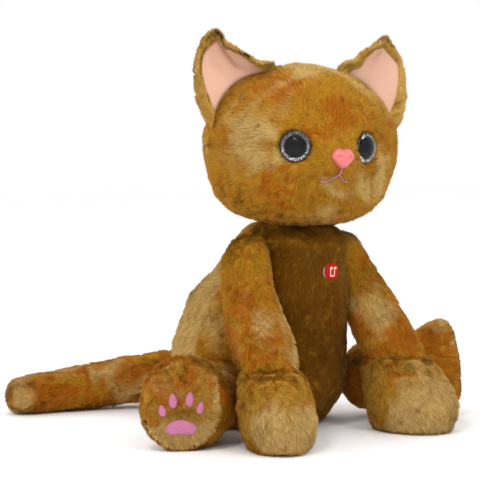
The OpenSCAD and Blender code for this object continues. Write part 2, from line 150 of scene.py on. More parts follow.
# ---------------------------------------------------------------- shapes of the stuffed parts
# Each shape takes u, once round, and v, from one end to the other, both 0 to 1.
TORSO_ROWS = [
    [0.5, 44, 38, 36], [2.5, 44, 54, 51], [12, 43.5, 62, 60], [34, 41, 69, 71], [60, 42, 69, 74],
    [84, 36, 61, 76], [104, 29, 54, 77], [122, 17, 43, 67], [140, 8, 38, 57], [152, 0, 38, 50],
    [160, -1, 34, 41], [166, -2, 25, 27],
]


def torso_shape(u, v):
    r = along(TORSO_ROWS, v * (len(TORSO_ROWS) - 1) + 0 * u)
    t = TURN * u + 0 * v
    return np.stack([r[..., 2] * np.sin(t), r[..., 1] - r[..., 3] * np.cos(t), r[..., 0]], -1)


MUZZLE_OUT, MUZZLE_WIDE, MUZZLE_HIGH, MUZZLE_Z = 15, 22, 17, -8
MOUTH_Z, MOUTH_DIP, MOUTH_HALF, MOUTH_ARC = -16.5, 6.0, 12.5, 112


def muzzle(x, z):
    return (MUZZLE_OUT * np.exp(-(x / MUZZLE_WIDE) ** 2)
            * np.exp(-((z - MUZZLE_Z) / MUZZLE_HIGH) ** 2))


def mouth_height(x):
    return MOUTH_Z - MOUTH_DIP * np.sin(
        np.radians(MOUTH_ARC * np.clip(np.abs(x) / MOUTH_HALF, 0, 1.15)))


def eye_frame(p):
    """Head point in the frame of the eye on its own side: across, up, out."""
    q = np.stack([np.abs(p[..., 0]), p[..., 1], p[..., 2]], -1) - EYE_PLACE
    return q @ (spin("z", EYE_TURN) @ spin("x", math.pi / 2))


def head_local(u, v):
    """The head in its own frame: u turns round the line through the ears, v runs from the
    right ear to the left."""
    w = np.radians(360 * u - 125 + 0 * v)
    phi = (v - 0.5) * math.pi * HEAD_SPAN + 0 * u
    x, g = HEAD_A * np.sin(phi), np.cos(phi)
    z = HEAD_C * g * np.sin(w)
    y = -HEAD_B * g * np.cos(w)
    front = ease(-0.1, 0.35, np.cos(w))
    y = y - muzzle(x, z) * front
    p = np.stack([x, y, z], -1)
    aside = np.abs(x)
    swell = (2.2 * bump(np.hypot((aside - 9.5) / 1.1, z + 13), 7.5)             # whisker pads
             - 1.5 * bump(x, 2.0) * bump(z + 13, 7)                             # groove between
             - 1.9 * bump(z - mouth_height(x) + 0.6, 1.7) * ease(15.5, 11.5, aside)    # lip line
             + 2.4 * bump(np.hypot(x / 1.5, z + 30), 7.5)                       # chin
             - 2.6 * bump(np.hypot(aside - 17.0, z + 21), 6)                    # mouth corners
             - 1.5 * bump(np.hypot(x / 1.6, z - 12), 9)                         # bridge of the nose
             + 1.5 * bump(np.hypot(aside - 42, z + 22), 17)) * front            # cheeks
    jowl = 5.5 * bump(z + 44, 15) * ease(14, 38, np.hypot(x, y))
    crease = bump((x + 57 - 0.35 * z) / 4.5, 1) * bump(z + 13, 16) * front
    p = p + unit(p * [1, 1, 0.45]) * jowl[..., None] + unit(p) * (swell - 2.6 * crease)[..., None]
    e = eye_frame(p)
    d = np.hypot(e[..., 0], e[..., 1])
    hollow = 4.2 * bump(np.hypot(e[..., 0] + 3, e[..., 1]), 19) * front
    e[..., 2] = e[..., 2] - hollow
    socket = ease(EYE_R + 2.2, EYE_R - 0.2, d) * front
    around = bump(d - 16.5, 4.5) * front * ease(20, 0, np.abs(e[..., 2]))
    out = np.array([math.sin(EYE_TURN), -math.cos(EYE_TURN), 0])
    side = np.where(x < 0, -1.0, 1.0)
    outward = np.stack([out[0] * side, out[1] + 0 * x, 0 * x], -1)
    lowered = (-2.2 - e[..., 2]) * socket
    return p + outward * (lowered + 1.0 * around - hollow)[..., None]


def head_shape(u, v):
    return from_head(head_local(u, v))


ARM_ROWS = [
    [0.5, 68, -71, 6, 8], [0.7, 68, -71, 17, 24], [6, 68, -71, 25, 33.4], [25, 68, -69, 28.5, 36.5],
    [46, 66, -61, 26.6, 31.5], [60, 64, -53, 22.9, 24.8], [70, 63.0, -47, 23.6, 25],
    [83, 61.8, -40, 23.6, 24.6], [101, 59.2, -30, 21.3, 22.8], [120, 55.5, -19, 19.4, 20.8],
    [136, 51.5, -11, 18.2, 18.6], [148, 48, -9, 15, 16], [155, 45.5, -8, 9.6, 10.6],
    [158.5, 44, -8, 2, 2],
]
WRIST = 5 / (len(ARM_ROWS) - 1)
ARM_SPLAY = math.radians(30)
ARM_DRIFT = {1: -4.0, -1: 3.0}  # the toy slumps a little: both shoulders lean to its right


def arm_shape(side):
    def shape(u, v):
        r = along(ARM_ROWS, v * (len(ARM_ROWS) - 1) + 0 * u)
        x, y = r[..., 3] * np.cos(TURN * u), r[..., 4] * np.sin(TURN * u)
        c, s = math.cos(ARM_SPLAY), math.sin(ARM_SPLAY)
        drift = ARM_DRIFT[side] * ease(62, 125, r[..., 0])
        return np.stack([side * (r[..., 1] + drift + x * c - y * s),
                         r[..., 2] + x * s + y * c, r[..., 0]], -1)
    return shape


FLAT_UNDER = 3.0        # height below which a stuffed part flattens on the floor


def resting(z, least=0.5):
    """Heights of a part that sits on the floor, flattened under it."""
    squashed = (FLAT_UNDER - least) * np.exp(np.minimum((z - FLAT_UNDER) / FLAT_UNDER, 0))
    return least + np.where(z > FLAT_UNDER, z - least, squashed)


HIP_Z, HIP_OUT = 34.0, {"left": 97.0, "right": 80.0}
LEG_ROWS = [
    [-26.6, 3, 3, HIP_Z], [-23, 14, 14, HIP_Z], [-14, 23, 23, HIP_Z], [0, 27, 27, HIP_Z],
    [18, 26.5, 27, HIP_Z - 1], [36, 27, 29, 32], [50, 29.3, 33, 33.5], [60, 31.0, 35.3, 34.8],
    [66.5, 30.8, 35.2, 34.8], [71, 29.2, 33.4, 34.8],
]
LEGS = {"left": (math.radians(66), math.radians(8), math.radians(-10)),
        "right": (math.radians(-61), 0.0, math.radians(28))}   # way out, lift, turn of the toes
SOLE_AT, SOLE_WIDE, SOLE_HIGH, SOLE_MIDDLE = 69, 30.4, 34.6, 34.8


def from_leg(p, name):
    az, lift, _ = LEGS[name]
    out = HIP_OUT[name]
    hip = np.array([out * math.sin(az), SEAT_BACK + 1 - out * math.cos(az), HIP_Z])
    return (np.asarray(p) - [0, 0, HIP_Z]) @ (spin("z", az) @ spin("x", -lift)).T + hip


def leg_shape(name):
    toe = LEGS[name][2]

    def shape(u, v):
        r = along(LEG_ROWS, v * (len(LEG_ROWS) - 1) + 0 * u)
        yaw = toe * np.clip((r[..., 0] - 30) / 39, 0, 1)
        a = r[..., 1] * np.cos(TURN * u)
        z = resting(r[..., 3] + r[..., 2] * np.sin(TURN * u))
        return from_leg(np.stack([a * np.cos(yaw), -r[..., 0] + a * np.sin(yaw), z], -1), name)
    return shape


def from_sole(p, name):
    """Sole's own millimetres, across, up, out of the foot, to the toy's."""
    q = np.asarray(p) @ (spin("z", LEGS[name][2]) @ spin("x", math.pi / 2)).T
    return from_leg(q + [0, -SOLE_AT, 0], name)


def sole_bulge(rho):
    return 2.6 + 2.4 * (1 - rho ** 2.2)


def sole_shape(name):
    def shape(u, v):
        t = TURN * u + 0 * v
        rho = np.clip(1.0 - 0.992 * (v + 0 * u), 0, 1)
        z = resting(SOLE_MIDDLE + SOLE_HIGH * rho * np.sin(t), 0.6)
        out = sole_bulge(rho) - 4.6 * ease(0.93, 1.0, rho)
        return from_sole(np.stack([SOLE_WIDE * rho * np.cos(t), z, out], -1), name)
    return shape


TAIL_PATH = np.array([
    [0, 117, 28], [-14, 132, 28], [-31, 147, 26.5], [-53, 160, 23.5],
    [-79, 170, 20], [-105, 178, 17.4], [-127, 182.5, 15.8], [-140, 185, 15]])
TAIL_ROOT_R, TAIL_TIP_R = 22.5, 15.2
TAIL_BODY = 0.12, 0.93      # the run of v between the two rounded ends


def tail_shape(u, v):
    first, last = TAIL_BODY
    k = np.clip((v - first) / (last - first), 0, 1) * 7 + 0 * u
    p = along(TAIL_PATH, k)
    ahead = unit((along(TAIL_PATH, k + 0.05) - along(TAIL_PATH, k - 0.05)) * [1, 1, 0])
    r = TAIL_ROOT_R + (TAIL_TIP_R - TAIL_ROOT_R) * k / 7
    back = np.clip((first - v) / first, 0, 1) * math.radians(84)
    front = np.clip((v - last) / (1 - last), 0, 1) * math.radians(85)
    p = p + ahead * (r * (np.sin(front) - np.sin(back)))[..., None]
    r = r * np.cos(front) * np.cos(back)
    aside = r * np.cos(TURN * u)
    return np.stack([p[..., 0] - aside * ahead[..., 1], p[..., 1] + aside * ahead[..., 0],
                     resting(p[..., 2] + r * np.sin(TURN * u))], -1)


EAR_INNER, EAR_OUTER = np.array([26.0, 1, 60]), np.array([76.0, 1, 17])
EAR_TIP = np.array([74.0, 5, 85])
EAR_OUT = np.array([0.65, 0, 0.76])
EAR_MIDDLE = (EAR_INNER + EAR_OUTER) / 2
EAR_ROLL = {1: (1.8, 0.75, 7.5), -1: (1.45, 0.95, 13.0)}  # inner edge: fullness, taper, roll
LINING_HALF = 0.80          # the lining's half width as a share of the ear's


def ear_sheet(q, t, side):
    """Middle surface of the left ear in the head's frame: q from its inner edge -1 to its outer
    edge 1, t from its base up to its tip. The inner edge is rolled forward over the lining."""
    half = (EAR_OUTER - EAR_INNER) / 2
    high = np.clip(t, 0, 1)
    swell, taper, forward = EAR_ROLL[side]
    inner = 0.98 * (1 - high ** swell) ** taper
    outer = 1.12 * (1 - high ** 2.6) ** 0.56
    spread = inner + (outer - inner) * ease(-0.5, 0.5, q)
    arch = (1 - q * q) * 12 * (1 - t) + 2.2
    p = (EAR_MIDDLE + (q * spread)[..., None] * half + t[..., None] * (EAR_TIP - EAR_MIDDLE)
         + arch[..., None] * EAR_OUT)
    roll = ease(-0.28, -1.0, q) * ease(-0.05, 0.3, t) * ease(1.05, 0.8, t)
    p[..., 1] += 1.75 - 8 * q * q * (1 - 0.6 * t) + 4 * t - forward * roll
    curl = 0.75 * forward * roll ** 2
    p[..., 0] += 0.7 * curl
    p[..., 2] -= 0.75 * curl
    return p


def ear_section(u, v):
    """Place on the ear's closed section: across it, how far up, and the front's share."""
    t = -0.09 + 1.075 * v + 0 * u
    c, s = np.cos(TURN * u), np.sin(TURN * u)
    q = -np.sign(c) * np.abs(c) ** 0.8 + 0 * v
    return q, t, s


def ear_shape(side):
    def shape(u, v):
        q, t, s = ear_section(u, v)
        p = ear_sheet(q, t, side)
        rim = np.maximum(ease(0.62, 0.80, np.abs(q)), ease(0.78, 0.90, t))
        depth = np.where(s > 0, 2.6 + 1.0 * t, 0.4 + 2.4 * rim)
        p[..., 1] += depth * np.sign(s) * np.abs(s) ** 0.6 * ease(1.02, 0.9, t)
        return from_head(p * [side, 1, 1])
    return shape


def ear_lining_shape(side):
    def shape(s, t):
        q = LINING_HALF * (2 * s - 1) + 0 * t
        high = -0.06 + 0.92 * t + 0 * s
        p = ear_sheet(q, high, side)
        edge = np.maximum(np.abs(q / LINING_HALF) ** 8, ease(0.9, 1.0, t + 0 * s))
        fold = 1.5 * bump(q * 30 + 12 - 9 * t, 3.4) * ease(0.1, 0.4, t) * ease(1, 0.75, t)
        wrinkle = 0.5 * lumps(p, 10, 71)
        p[..., 1] += -2.5 + 1.3 * edge + fold + wrinkle * (1 - edge)
        return from_head(p * [side, 1, 1])
    return shape


def neck_shape(u, v):
    t = TURN * u + 0 * v
    phi = (v - 0.5) * math.pi * 0.96 + 0 * u
    ripple = 1 - 0.03 * (0.5 + 0.5 * np.cos(14 * t)) * np.cos(phi)
    r = 23.4 * ripple
    return NECK + np.stack([r * np.cos(phi) * np.cos(t), r * np.cos(phi) * np.sin(t),
                            r * np.sin(phi)], -1)


def seat_shape(u, v):
    t = TURN * u + 0 * v
    rho = 1.0 - 0.992 * (v + 0 * u)
    return np.stack([50.5 * rho * np.sin(-t), SEAT_BACK + 1 - 49.5 * rho * np.cos(t),
                     1.6 - 1.1 * ease(1.0, 0.8, rho)], -1)


# ---------------------------------------------------------------- meshes
LIE_SHARE = 0.6         # how far the pile's shading follows the cloth under it


def build_mesh(name, points, triangles, material, uv=None, values=None, lie=None):
    """A closed piece from points in millimetres and triangles, smooth shaded, facing out.
    lie gives the direction the cloth under the pile faces."""
    mesh = bpy.data.meshes.new(name)
    points = np.asarray(points, np.float64) * MM
    triangles = np.asarray(triangles, np.int32)
    a, b, c = (points[triangles[:, k]] for k in range(3))
    if (np.cross(a, b) * c).sum() < 0 and len(triangles) > 2:
        triangles = triangles[:, ::-1]
        uv = None if uv is None else uv[:, ::-1]
    triangles = np.ascontiguousarray(triangles)
    points = points.astype(np.float32)
    n = len(triangles)
    mesh.vertices.add(len(points))
    mesh.vertices.foreach_set("co", points.ravel())
    mesh.loops.add(3 * n)
    mesh.loops.foreach_set("vertex_index", triangles.ravel())
    mesh.polygons.add(n)
    mesh.polygons.foreach_set("loop_start", np.arange(0, 3 * n, 3, dtype=np.int32))
    mesh.polygons.foreach_set("use_smooth", np.ones(n, bool))
    mesh.update(calc_edges=True)
    if uv is not None:
        # The layer that the exporter bakes on: the cloth's own run of the weave
        layer = mesh.uv_layers.new(name="OFBake")
        layer.data.foreach_set("uv", np.asarray(uv, np.float32).ravel())
    for key, value in (values or {}).items():
        mesh.attributes.new(key, "FLOAT", "POINT").data.foreach_set(
            "value", np.asarray(value, np.float32).ravel())
    if lie is not None:
        own = np.zeros(len(points) * 3, np.float32)
        mesh.vertex_normals.foreach_get("vector", own)
        soft = unit(own.reshape(-1, 3) * (1 - LIE_SHARE) + lie * LIE_SHARE)
        mesh.normals_split_custom_set_from_vertices(soft.tolist())
    mesh.materials.append(material)
    obj = bpy.data.objects.new(name, mesh)
    bpy.context.scene.collection.objects.link(obj)
    return obj


def even_net(shape, span, size, cell):
    """u and v values that split a part of a shape into cells of about one size."""
    u0, u1, v0, v1 = span
    us, vs = np.linspace(u0, u1, 61), np.linspace(v0, v1, 301)
    p = shape(us[None, :], vs[:, None])
    step = np.linalg.norm(np.diff(p, axis=0), axis=2).mean(1)
    run = np.concatenate([[0], np.cumsum(step)])
    around = np.linalg.norm(np.diff(p, axis=1), axis=2).sum(1).max()
    rows = cell * max(1, round(run[-1] / size / cell))
    cols = cell * max(1, round(around / size / cell))
    v = np.interp(np.linspace(0, run[-1], rows + 1), run, vs)
    return np.linspace(u0, u1, cols + 1), v


def normals_of(shape, u, v, out):
    e = 0.002
    u, v = u[None, :], v[:, None]
    low, high = np.clip(v - e, 0, 1), np.clip(v + e, 0, 1)
    across = shape(u + e, v) - shape(u - e, v)
    up = shape(u, high) - shape(u, low)
    return unit(np.cross(across, up)) * out


def outward_sign(shape):
    """1 if u then v turn so that their cross product faces out of the shape."""
    u, v = np.linspace(0, 1, 25)[:-1], np.linspace(0.1, 0.9, 17)
    p = shape(u[None, :], v[:, None])
    n = normals_of(shape, u, v, 1)
    return 1 if ((p - p.mean((0, 1))) * n).sum() > 0 else -1


def zip_triangles(fine, coarse, cell):
    """Triangles between a fine closed edge and the coarse one that runs beside it."""
    out = []
    half = cell // 2
    for s in range(len(coarse)):
        a, b = coarse[s], coarse[(s + 1) % len(coarse)]
        for k in range(cell):
            f0, f1 = fine[(s * cell + k) % len(fine)], fine[(s * cell + k + 1) % len(fine)]
            out.append([f0, a if k < half else b, f1])
        out.append([fine[(s * cell + half) % len(fine)], a, b])
    return out


def two_layers(outer, inner_depth, normals, wrap, cell, apex=None):
    """Points, triangles and uv of a cloth: fine outside, coarse inside, sewn shut at its edges.
    apex adds a raised point over each outer cell."""
    rows, cols = outer.shape[0] - 1, outer.shape[1] - 1
    width = cols if wrap else cols + 1
    ident = (np.arange(rows + 1)[:, None] * width + (np.arange(cols + 1) % width)[None, :])
    points = [outer[:, :width].reshape(-1, 3)]
    a, b = ident[:-1, :-1], ident[:-1, 1:]
    c, d = ident[1:, 1:], ident[1:, :-1]
    jj, ii = np.meshgrid(np.arange(rows), np.arange(cols), indexing="ij")
    corner = {"a": (ii, jj), "b": (ii + 1, jj), "c": (ii + 1, jj + 1), "d": (ii, jj + 1)}
    offset = (rows + 1) * width
    triangles, where = [], []

    def add(p, q, r, cp, cq, cr):
        triangles.append(np.stack([p, q, r], -1).reshape(-1, 3))
        where.append(np.stack([np.stack(np.broadcast_arrays(*k), -1) for k in (cp, cq, cr)],
                              -2).reshape(-1, 3, 2))
    if apex is None:
        add(a, b, c, corner["a"], corner["b"], corner["c"])
        add(a, c, d, corner["a"], corner["c"], corner["d"])
    else:
        tip = offset + jj * cols + ii
        points.append(apex.reshape(-1, 3))
        offset += rows * cols
        mid = (ii + 0.5, jj + 0.5)
        around = [(a, "a"), (b, "b"), (c, "c"), (d, "d"), (a, "a")]
        for (p, cp), (q, cq) in zip(around, around[1:]):
            add(p, q, tip, corner[cp], corner[cq], mid)
    inside = (outer - normals * inner_depth)[::cell, ::cell]
    r2, c2 = inside.shape[0] - 1, inside.shape[1] - 1
    w2 = c2 if wrap else c2 + 1
    points.append(inside[:, :w2].reshape(-1, 3))
    id2 = offset + (np.arange(r2 + 1)[:, None] * w2 + (np.arange(c2 + 1) % w2)[None, :])
    a, b, c, d = id2[:-1, :-1], id2[:-1, 1:], id2[1:, 1:], id2[1:, :-1]
    back = np.concatenate([np.stack([a, c, b], -1).reshape(-1, 3),
                           np.stack([a, d, c], -1).reshape(-1, 3)])
    if wrap:
        first, last = (zip_triangles(list(ident[k, :-1]), list(id2[k, :-1]), cell) for k in (0, -1))
        hem = first + [t[::-1] for t in last]
    else:
        loop = lambda g: [*g[0, :-1], *g[:-1, -1], *g[-1, :0:-1], *g[:0:-1, 0]]
        hem = zip_triangles(loop(ident), loop(id2), cell)
    plain = np.concatenate([back, np.array(hem)])
    uv = np.concatenate(where).astype(float) / [cols, rows] * [1, 0.9]
    k = np.arange(len(plain))   # the back's triangles lie in a strip over the front's run
    spare = np.stack([np.stack([(k % 60) / 60, 0.92 + 0.07 * (k // 60 % 20) / 20], -1)] * 3, 1)
    spare[:, 1, 0] += 0.01
    spare[:, 2, 1] += 0.003
    return (np.concatenate(points), np.concatenate(triangles + [plain]),
            np.concatenate([uv, spare]), (rows + 1) * width)


def cloth_net(shape, span, wrap, size, cell, out):
    """Points and normals of a cloth on a shape, and each point's distance from the cloth's edge."""
    u, v = even_net(shape, span, size, cell)
    base = shape(u[None, :], v[:, None])
    normal = normals_of(shape, u, v, outward_sign(shape) if out is None else out)
    if wrap:
        base[:, -1], normal[:, -1] = base[:, 0], normal[:, 0]
    rows, cols = len(v) - 1, len(u) - 1
    j, i = np.arange(rows + 1)[:, None], np.arange(cols + 1)[None, :]
    edge = np.minimum(j, rows - j) * size + 0 * i
    if not wrap:
        edge = np.minimum(edge, np.minimum(i, cols - i) * size)
    return base, normal, edge


def fur_piece(name, shape, span, wrap, material, size=1.28, pile=4.1, comb=None, trim=None,
              dyes=None, sink=0.6, tuck=1.2, seed=1, relief=None, lean=0.9, clump=6, out=None,
              backing=2.4):
    """A panel of pile cloth: every cell of the cloth carries one combed, tapering tuft."""
    base, normal, edge = cloth_net(shape, span, wrap, size, CLOTH_CELL, out)
    rows, cols = base.shape[0] - 1, base.shape[1] - 1
    relief = seed if relief is None else relief
    rise = 0.75 * lumps(base, 14, relief) + 0.25 * lumps(base, 6, relief + 1)
    seam = bump(edge, SEAM_WIDTH)
    short = np.ones_like(edge) if trim is None else trim(base)
    ground = base + normal * (rise * np.clip(short, 0.15, 1) - sink - tuck * seam)[..., None]
    if wrap:
        ground[:, -1] = ground[:, 0]

    def centred(a):
        return (a[:-1, :-1] + a[1:, :-1] + a[:-1, 1:] + a[1:, 1:]) / 4
    centre, up = centred(ground), unit(centred(normal))
    rng = np.random.default_rng(seed)
    random = rng.random((rows, cols))
    tall = pile * centred(short) * (0.72 + 0.5 * random + 0.16 * lumps(centre, 5, seed + 5))
    tall = tall * (1 - 0.25 * min(tuck, 1) * centred(seam))
    way = comb(centre, up) if comb else np.broadcast_to(-UP, centre.shape)
    way = (way + 0.55 * lump_vectors(centre, 13, seed + 9)
           + 0.35 * lump_vectors(centre, 5, seed + 13))
    way = way + 0.22 * (rng.random(centre.shape) * 2 - 1)
    way = unit(way - up * (way * up).sum(-1, keepdims=True))
    stand = 0.62 + 0.2 * lumps(centre, 7, seed + 17)
    tip = centre + up * (tall * stand)[..., None] + way * (tall * lean)[..., None]
    # neighbouring tufts lean together into locks
    cj, ci = max(1, rows // clump), max(1, cols // clump)
    sj, si = rows / cj, cols / ci
    jj, ii = np.meshgrid(np.arange(rows), np.arange(cols), indexing="ij")
    best, target = np.full(jj.shape, 1e9), np.zeros(centre.shape)
    jig = rng.random((cj, ci, 2))
    for dj in (-1, 0, 1):
        for di in (-1, 0, 1):
            a = np.clip((jj / sj).astype(int) + dj, 0, cj - 1)
            b = (jj * 0 + (ii / si).astype(int) + di)
            b = b % ci if wrap else np.clip(b, 0, ci - 1)
            pj, pi = (a + jig[a, b, 0]) * sj, (b + jig[a, b, 1]) * si
            gap = np.abs(pi - ii)
            gap = np.minimum(gap, cols - gap) if wrap else gap
            far = (pj - jj) ** 2 + gap ** 2
            near = far < best
            best = np.where(near, far, best)
            spot = tip[np.clip(pj.astype(int), 0, rows - 1),
                       np.clip(pi.astype(int), 0, cols - 1)]
            target = np.where(near[..., None], spot, target)
    pull = (0.22 + 0.12 * random) * np.clip(tall / 3, 0, 1)
    tip = tip + (target - tip) * pull[..., None] * (best < (2.2 * clump) ** 2)[..., None]
    ground[..., 2] = np.maximum(ground[..., 2], FLOOR_GAP)
    tip[..., 2] = np.maximum(tip[..., 2], FLOOR_GAP)
    points, triangles, uv, grounds = two_layers(ground, backing, normal, wrap, CLOTH_CELL, apex=tip)
    points[:, 2] = np.maximum(points[:, 2], FLOOR_GAP)
    spare = len(points) - grounds - rows * cols
    around = lambda tips, rest: np.concatenate(
        [np.full(grounds, rest), tips.ravel(), np.full(spare, rest)])
    values = {"pile": around(np.clip(tall, 0, 3) / 3, 0.0), "tuft": around(random, 0.5)}
    for key, field in (dyes or {}).items():
        values[key] = field(points)
    back = -normal[::CLOTH_CELL, ::CLOTH_CELL]
    front = normal[:, :-1] if wrap else normal
    back = back[:, :-1] if wrap else back
    lie = np.concatenate([front.reshape(-1, 3), unit(up + 0.25 * way).reshape(-1, 3),
                          back.reshape(-1, 3)])
    return build_mesh(name, points, triangles, material, uv, values, lie)


def lining_piece(name, shape, material, size, thick, tuck, out):
    """A smooth cloth, two layers thick, tucked in at its edge."""
    base, normal, edge = cloth_net(shape, (0, 1, 0, 1), False, size, 2, out)
    base = base - normal * (tuck * bump(edge, 1.6))[..., None]
    points, triangles, uv, _ = two_layers(base, thick, normal, False, 2)
    return build_mesh(name, points, triangles, material, uv)


def closed_form(name, shape, material, depth, size=7, seed=3, keep=None):
    """Wadding: the shape drawn in by some millimetres, lumpy and closed at both ends."""
    out = outward_sign(shape)
    u, v = even_net(shape, (0, 1, 0.0, 1.0), size, 1)
    normal = normals_of(shape, u, v, out)
    p = shape(u[None, :], v[:, None])
    p = p - normal * (depth + 0.8 * lumps(p, 14, seed))[..., None]
    if keep:
        p = keep(p)
    p[..., 2] = np.maximum(p[..., 2], 2.0)
    p = p[:, :-1]
    rows, cols = p.shape[0] - 1, p.shape[1]
    ends = np.stack([p[0].mean(0), p[-1].mean(0)])
    points = np.concatenate([p.reshape(-1, 3), ends])
    ident = np.arange((rows + 1) * cols).reshape(rows + 1, cols)
    nxt = np.roll(ident, -1, axis=1)
    a, b, c, d = ident[:-1], nxt[:-1], nxt[1:], ident[1:]
    low, top = (rows + 1) * cols, (rows + 1) * cols + 1
    triangles = np.concatenate([
        np.stack([a, b, c], -1).reshape(-1, 3), np.stack([a, c, d], -1).reshape(-1, 3),
        np.stack([nxt[0], ident[0], np.full(cols, low)], -1),
        np.stack([ident[-1], nxt[-1], np.full(cols, top)], -1)])
    piece = build_mesh(name, points, triangles, material)
    smooth = piece.modifiers.new("rounding", "SUBSURF")
    smooth.levels = smooth.render_levels = 1
    return piece


def turned_piece(name, profile, place, axes, material, segments=64):
    """A turned part from a profile of radius and height pairs, from its middle outwards."""
    profile = np.asarray(profile, float)
    t = TURN * np.arange(segments) / segments
    ring = np.stack([np.cos(t), np.sin(t)], -1)
    points, triangles, index = [], [], []
    for r, h in profile:
        if r < 1e-6:
            index.append([len(points)] * segments)
            points.append([0, 0, h])
        else:
            index.append(list(range(len(points), len(points) + segments)))
            points.extend(np.concatenate([ring * r, np.full((segments, 1), h)], 1).tolist())
    for a, b in zip(index, index[1:]):
        for k in range(segments):
            n = (k + 1) % segments
            if a[k] != a[n]:
                triangles.append([a[k], b[k], a[n]])
            if b[k] != b[n]:
                triangles.append([a[n], b[k], b[n]])
    points = np.asarray(points)
    low = -points[:, 1] / max(np.abs(points[:, :2]).max(), 1e-6)
    points = points @ np.asarray(axes).T + place
    return build_mesh(name, points, triangles, material, values={"low": low})


PAD_EDGE = 0.6          # roundness of a raised pad's edge


def padded_outline(name, outlines, height, place, material, rings=7, stitch=0.0, pitch=0.9,
                   lean=0.0):
    """Raised closed pads from flat outlines; place turns flat points and heights into the toy's."""
    points, triangles = [], []
    for outline in outlines:
        outline = np.asarray(outline, float)
        core, n, start = outline.mean(0), len(outline), len(points)
        for k in range(rings + 1):
            share = 1 - (k / rings) ** 1.6
            p = core + (outline - core) * max(share, 0.02)
            z = height * (1 - share ** (2.2 / PAD_EDGE)) ** 0.5
            run = p[:, 0] * math.cos(lean) + p[:, 1] * math.sin(lean)
            z = z + stitch * np.sin(TURN * run / pitch) * (0 < k)
            points.extend(place(np.column_stack([p, z + 0 * p[:, 0]])).tolist())
            if k:
                a, b = start + (k - 1) * n, start + k * n
                for i in range(n):
                    m = (i + 1) % n
                    triangles += [[a + i, a + m, b + i], [a + m, b + m, b + i]]
        last = len(points)
        points.extend(place(np.array([[*core, height], [*core, -1.2]])).tolist())
        low = len(points)
        points.extend(place(np.column_stack([outline, np.full(n, -1.2)])).tolist())
        for i in range(n):
            m = (i + 1) % n
            b = start + rings * n
            triangles += [[b + i, b + m, last], [low + m, low + i, last + 1],
                          [low + i, low + m, start + i], [low + m, start + m, start + i]]
    return build_mesh(name, points, triangles, material)


def thread(path, radius, twist, strands, sides=10):
    """Points and triangles of a round thread along a path, with twisted strands."""
    path = np.asarray(path, float)
    ahead = unit(np.gradient(path, axis=0))
    side = unit(np.cross(ahead, UP + [0.01, 0.3, 0]))
    up = np.cross(side, ahead)
    run = np.concatenate([[0], np.cumsum(np.linalg.norm(np.diff(path, axis=0), axis=1))])
    t = TURN * np.arange(sides) / sides
    points, triangles = [], []
    for p, s, w, d in zip(path, side, up, run):
        end = min(1, (d + 0.15) / 0.5, (run[-1] - d + 0.15) / 0.5)
        r = radius * math.sqrt(max(end, 0.1)) * (1 + strands * np.cos(2 * t + twist * d))
        points.extend((p + np.outer(r * np.cos(t), s) + np.outer(r * np.sin(t), w)).tolist())
    for k in range(len(path) - 1):
        for i in range(sides):
            a, b, m = k * sides + i, (k + 1) * sides + i, (i + 1) % sides
            triangles += [[a, k * sides + m, b], [k * sides + m, (k + 1) * sides + m, b]]
    points.extend([path[0].tolist(), path[-1].tolist()])
    end = len(path) * sides
    for i in range(sides):
        m = (i + 1) % sides
        triangles += [[m, i, end], [end - sides + i, end - sides + m, end + 1]]
    return points, triangles


# ---------------------------------------------------------------- finishes
def tint(code):
    """A colour written as in a swatch book, in the renderer's own scale."""
    c = [int(code[k:k + 2], 16) / 255 for k in (0, 2, 4)]
    return tuple(x / 12.92 if x <= 0.04045 else ((x + 0.055) / 1.055) ** 2.4 for x in c) + (1.0,)


class Nodes:
    """Short hand for making a node tree."""

    def __init__(self, tree):
        self.tree = tree

    def add(self, kind, **settings):
        node = self.tree.nodes.new(kind)
        for key, value in settings.items():
            if key.startswith("_"):
                setattr(node, key[1:], value)
            else:
                node.inputs[key.replace("_", " ")].default_value = value
        return node

    def join(self, source, target):
        self.tree.links.new(source, target)

    def noise(self, where, scale, detail=2.0, rough=0.5, distortion=0.0):
        n = self.add("ShaderNodeTexNoise", Scale=scale, Detail=detail, Roughness=rough,
                     Distortion=distortion)
        self.join(where, n.inputs["Vector"])
        return n.outputs["Fac"]

    def ramp(self, value, low, high, out_low=0.0, out_high=1.0):
        n = self.add("ShaderNodeMapRange", _interpolation_type="SMOOTHSTEP")
        for socket, number in zip((1, 2, 3, 4), (low, high, out_low, out_high)):
            n.inputs[socket].default_value = number
        self.join(value, n.inputs[0])
        return n.outputs[0]

    def sum(self, kind, a, b):
        n = self.add("ShaderNodeMath", _operation=kind)
        for socket, value in zip(n.inputs, (a, b)):
            if isinstance(value, (int, float)):
                socket.default_value = value
            else:
                self.join(value, socket)
        return n.outputs[0]

    def mix(self, share, a, b, kind="MIX"):
        n = self.add("ShaderNodeMix", _data_type="RGBA", _blend_type=kind, _clamp_factor=True)
        for socket, value in ((n.inputs[0], share), (n.inputs[6], a), (n.inputs[7], b)):
            if isinstance(value, (int, float, tuple)):
                socket.default_value = value
            else:
                self.join(value, socket)
        return n.outputs[2]

    def field(self, name):
        return self.add("ShaderNodeAttribute", _attribute_name=name).outputs["Fac"]

    def place(self):
        return self.add("ShaderNodeTexCoord").outputs["Object"]

    def shaded(self, colour, value):
        """The colour, lighter or darker by a value."""
        grey = self.add("ShaderNodeCombineColor")
        for k in range(3):
            self.join(value, grey.inputs[k])
        return self.mix(1.0, colour, grey.outputs[0], "MULTIPLY")


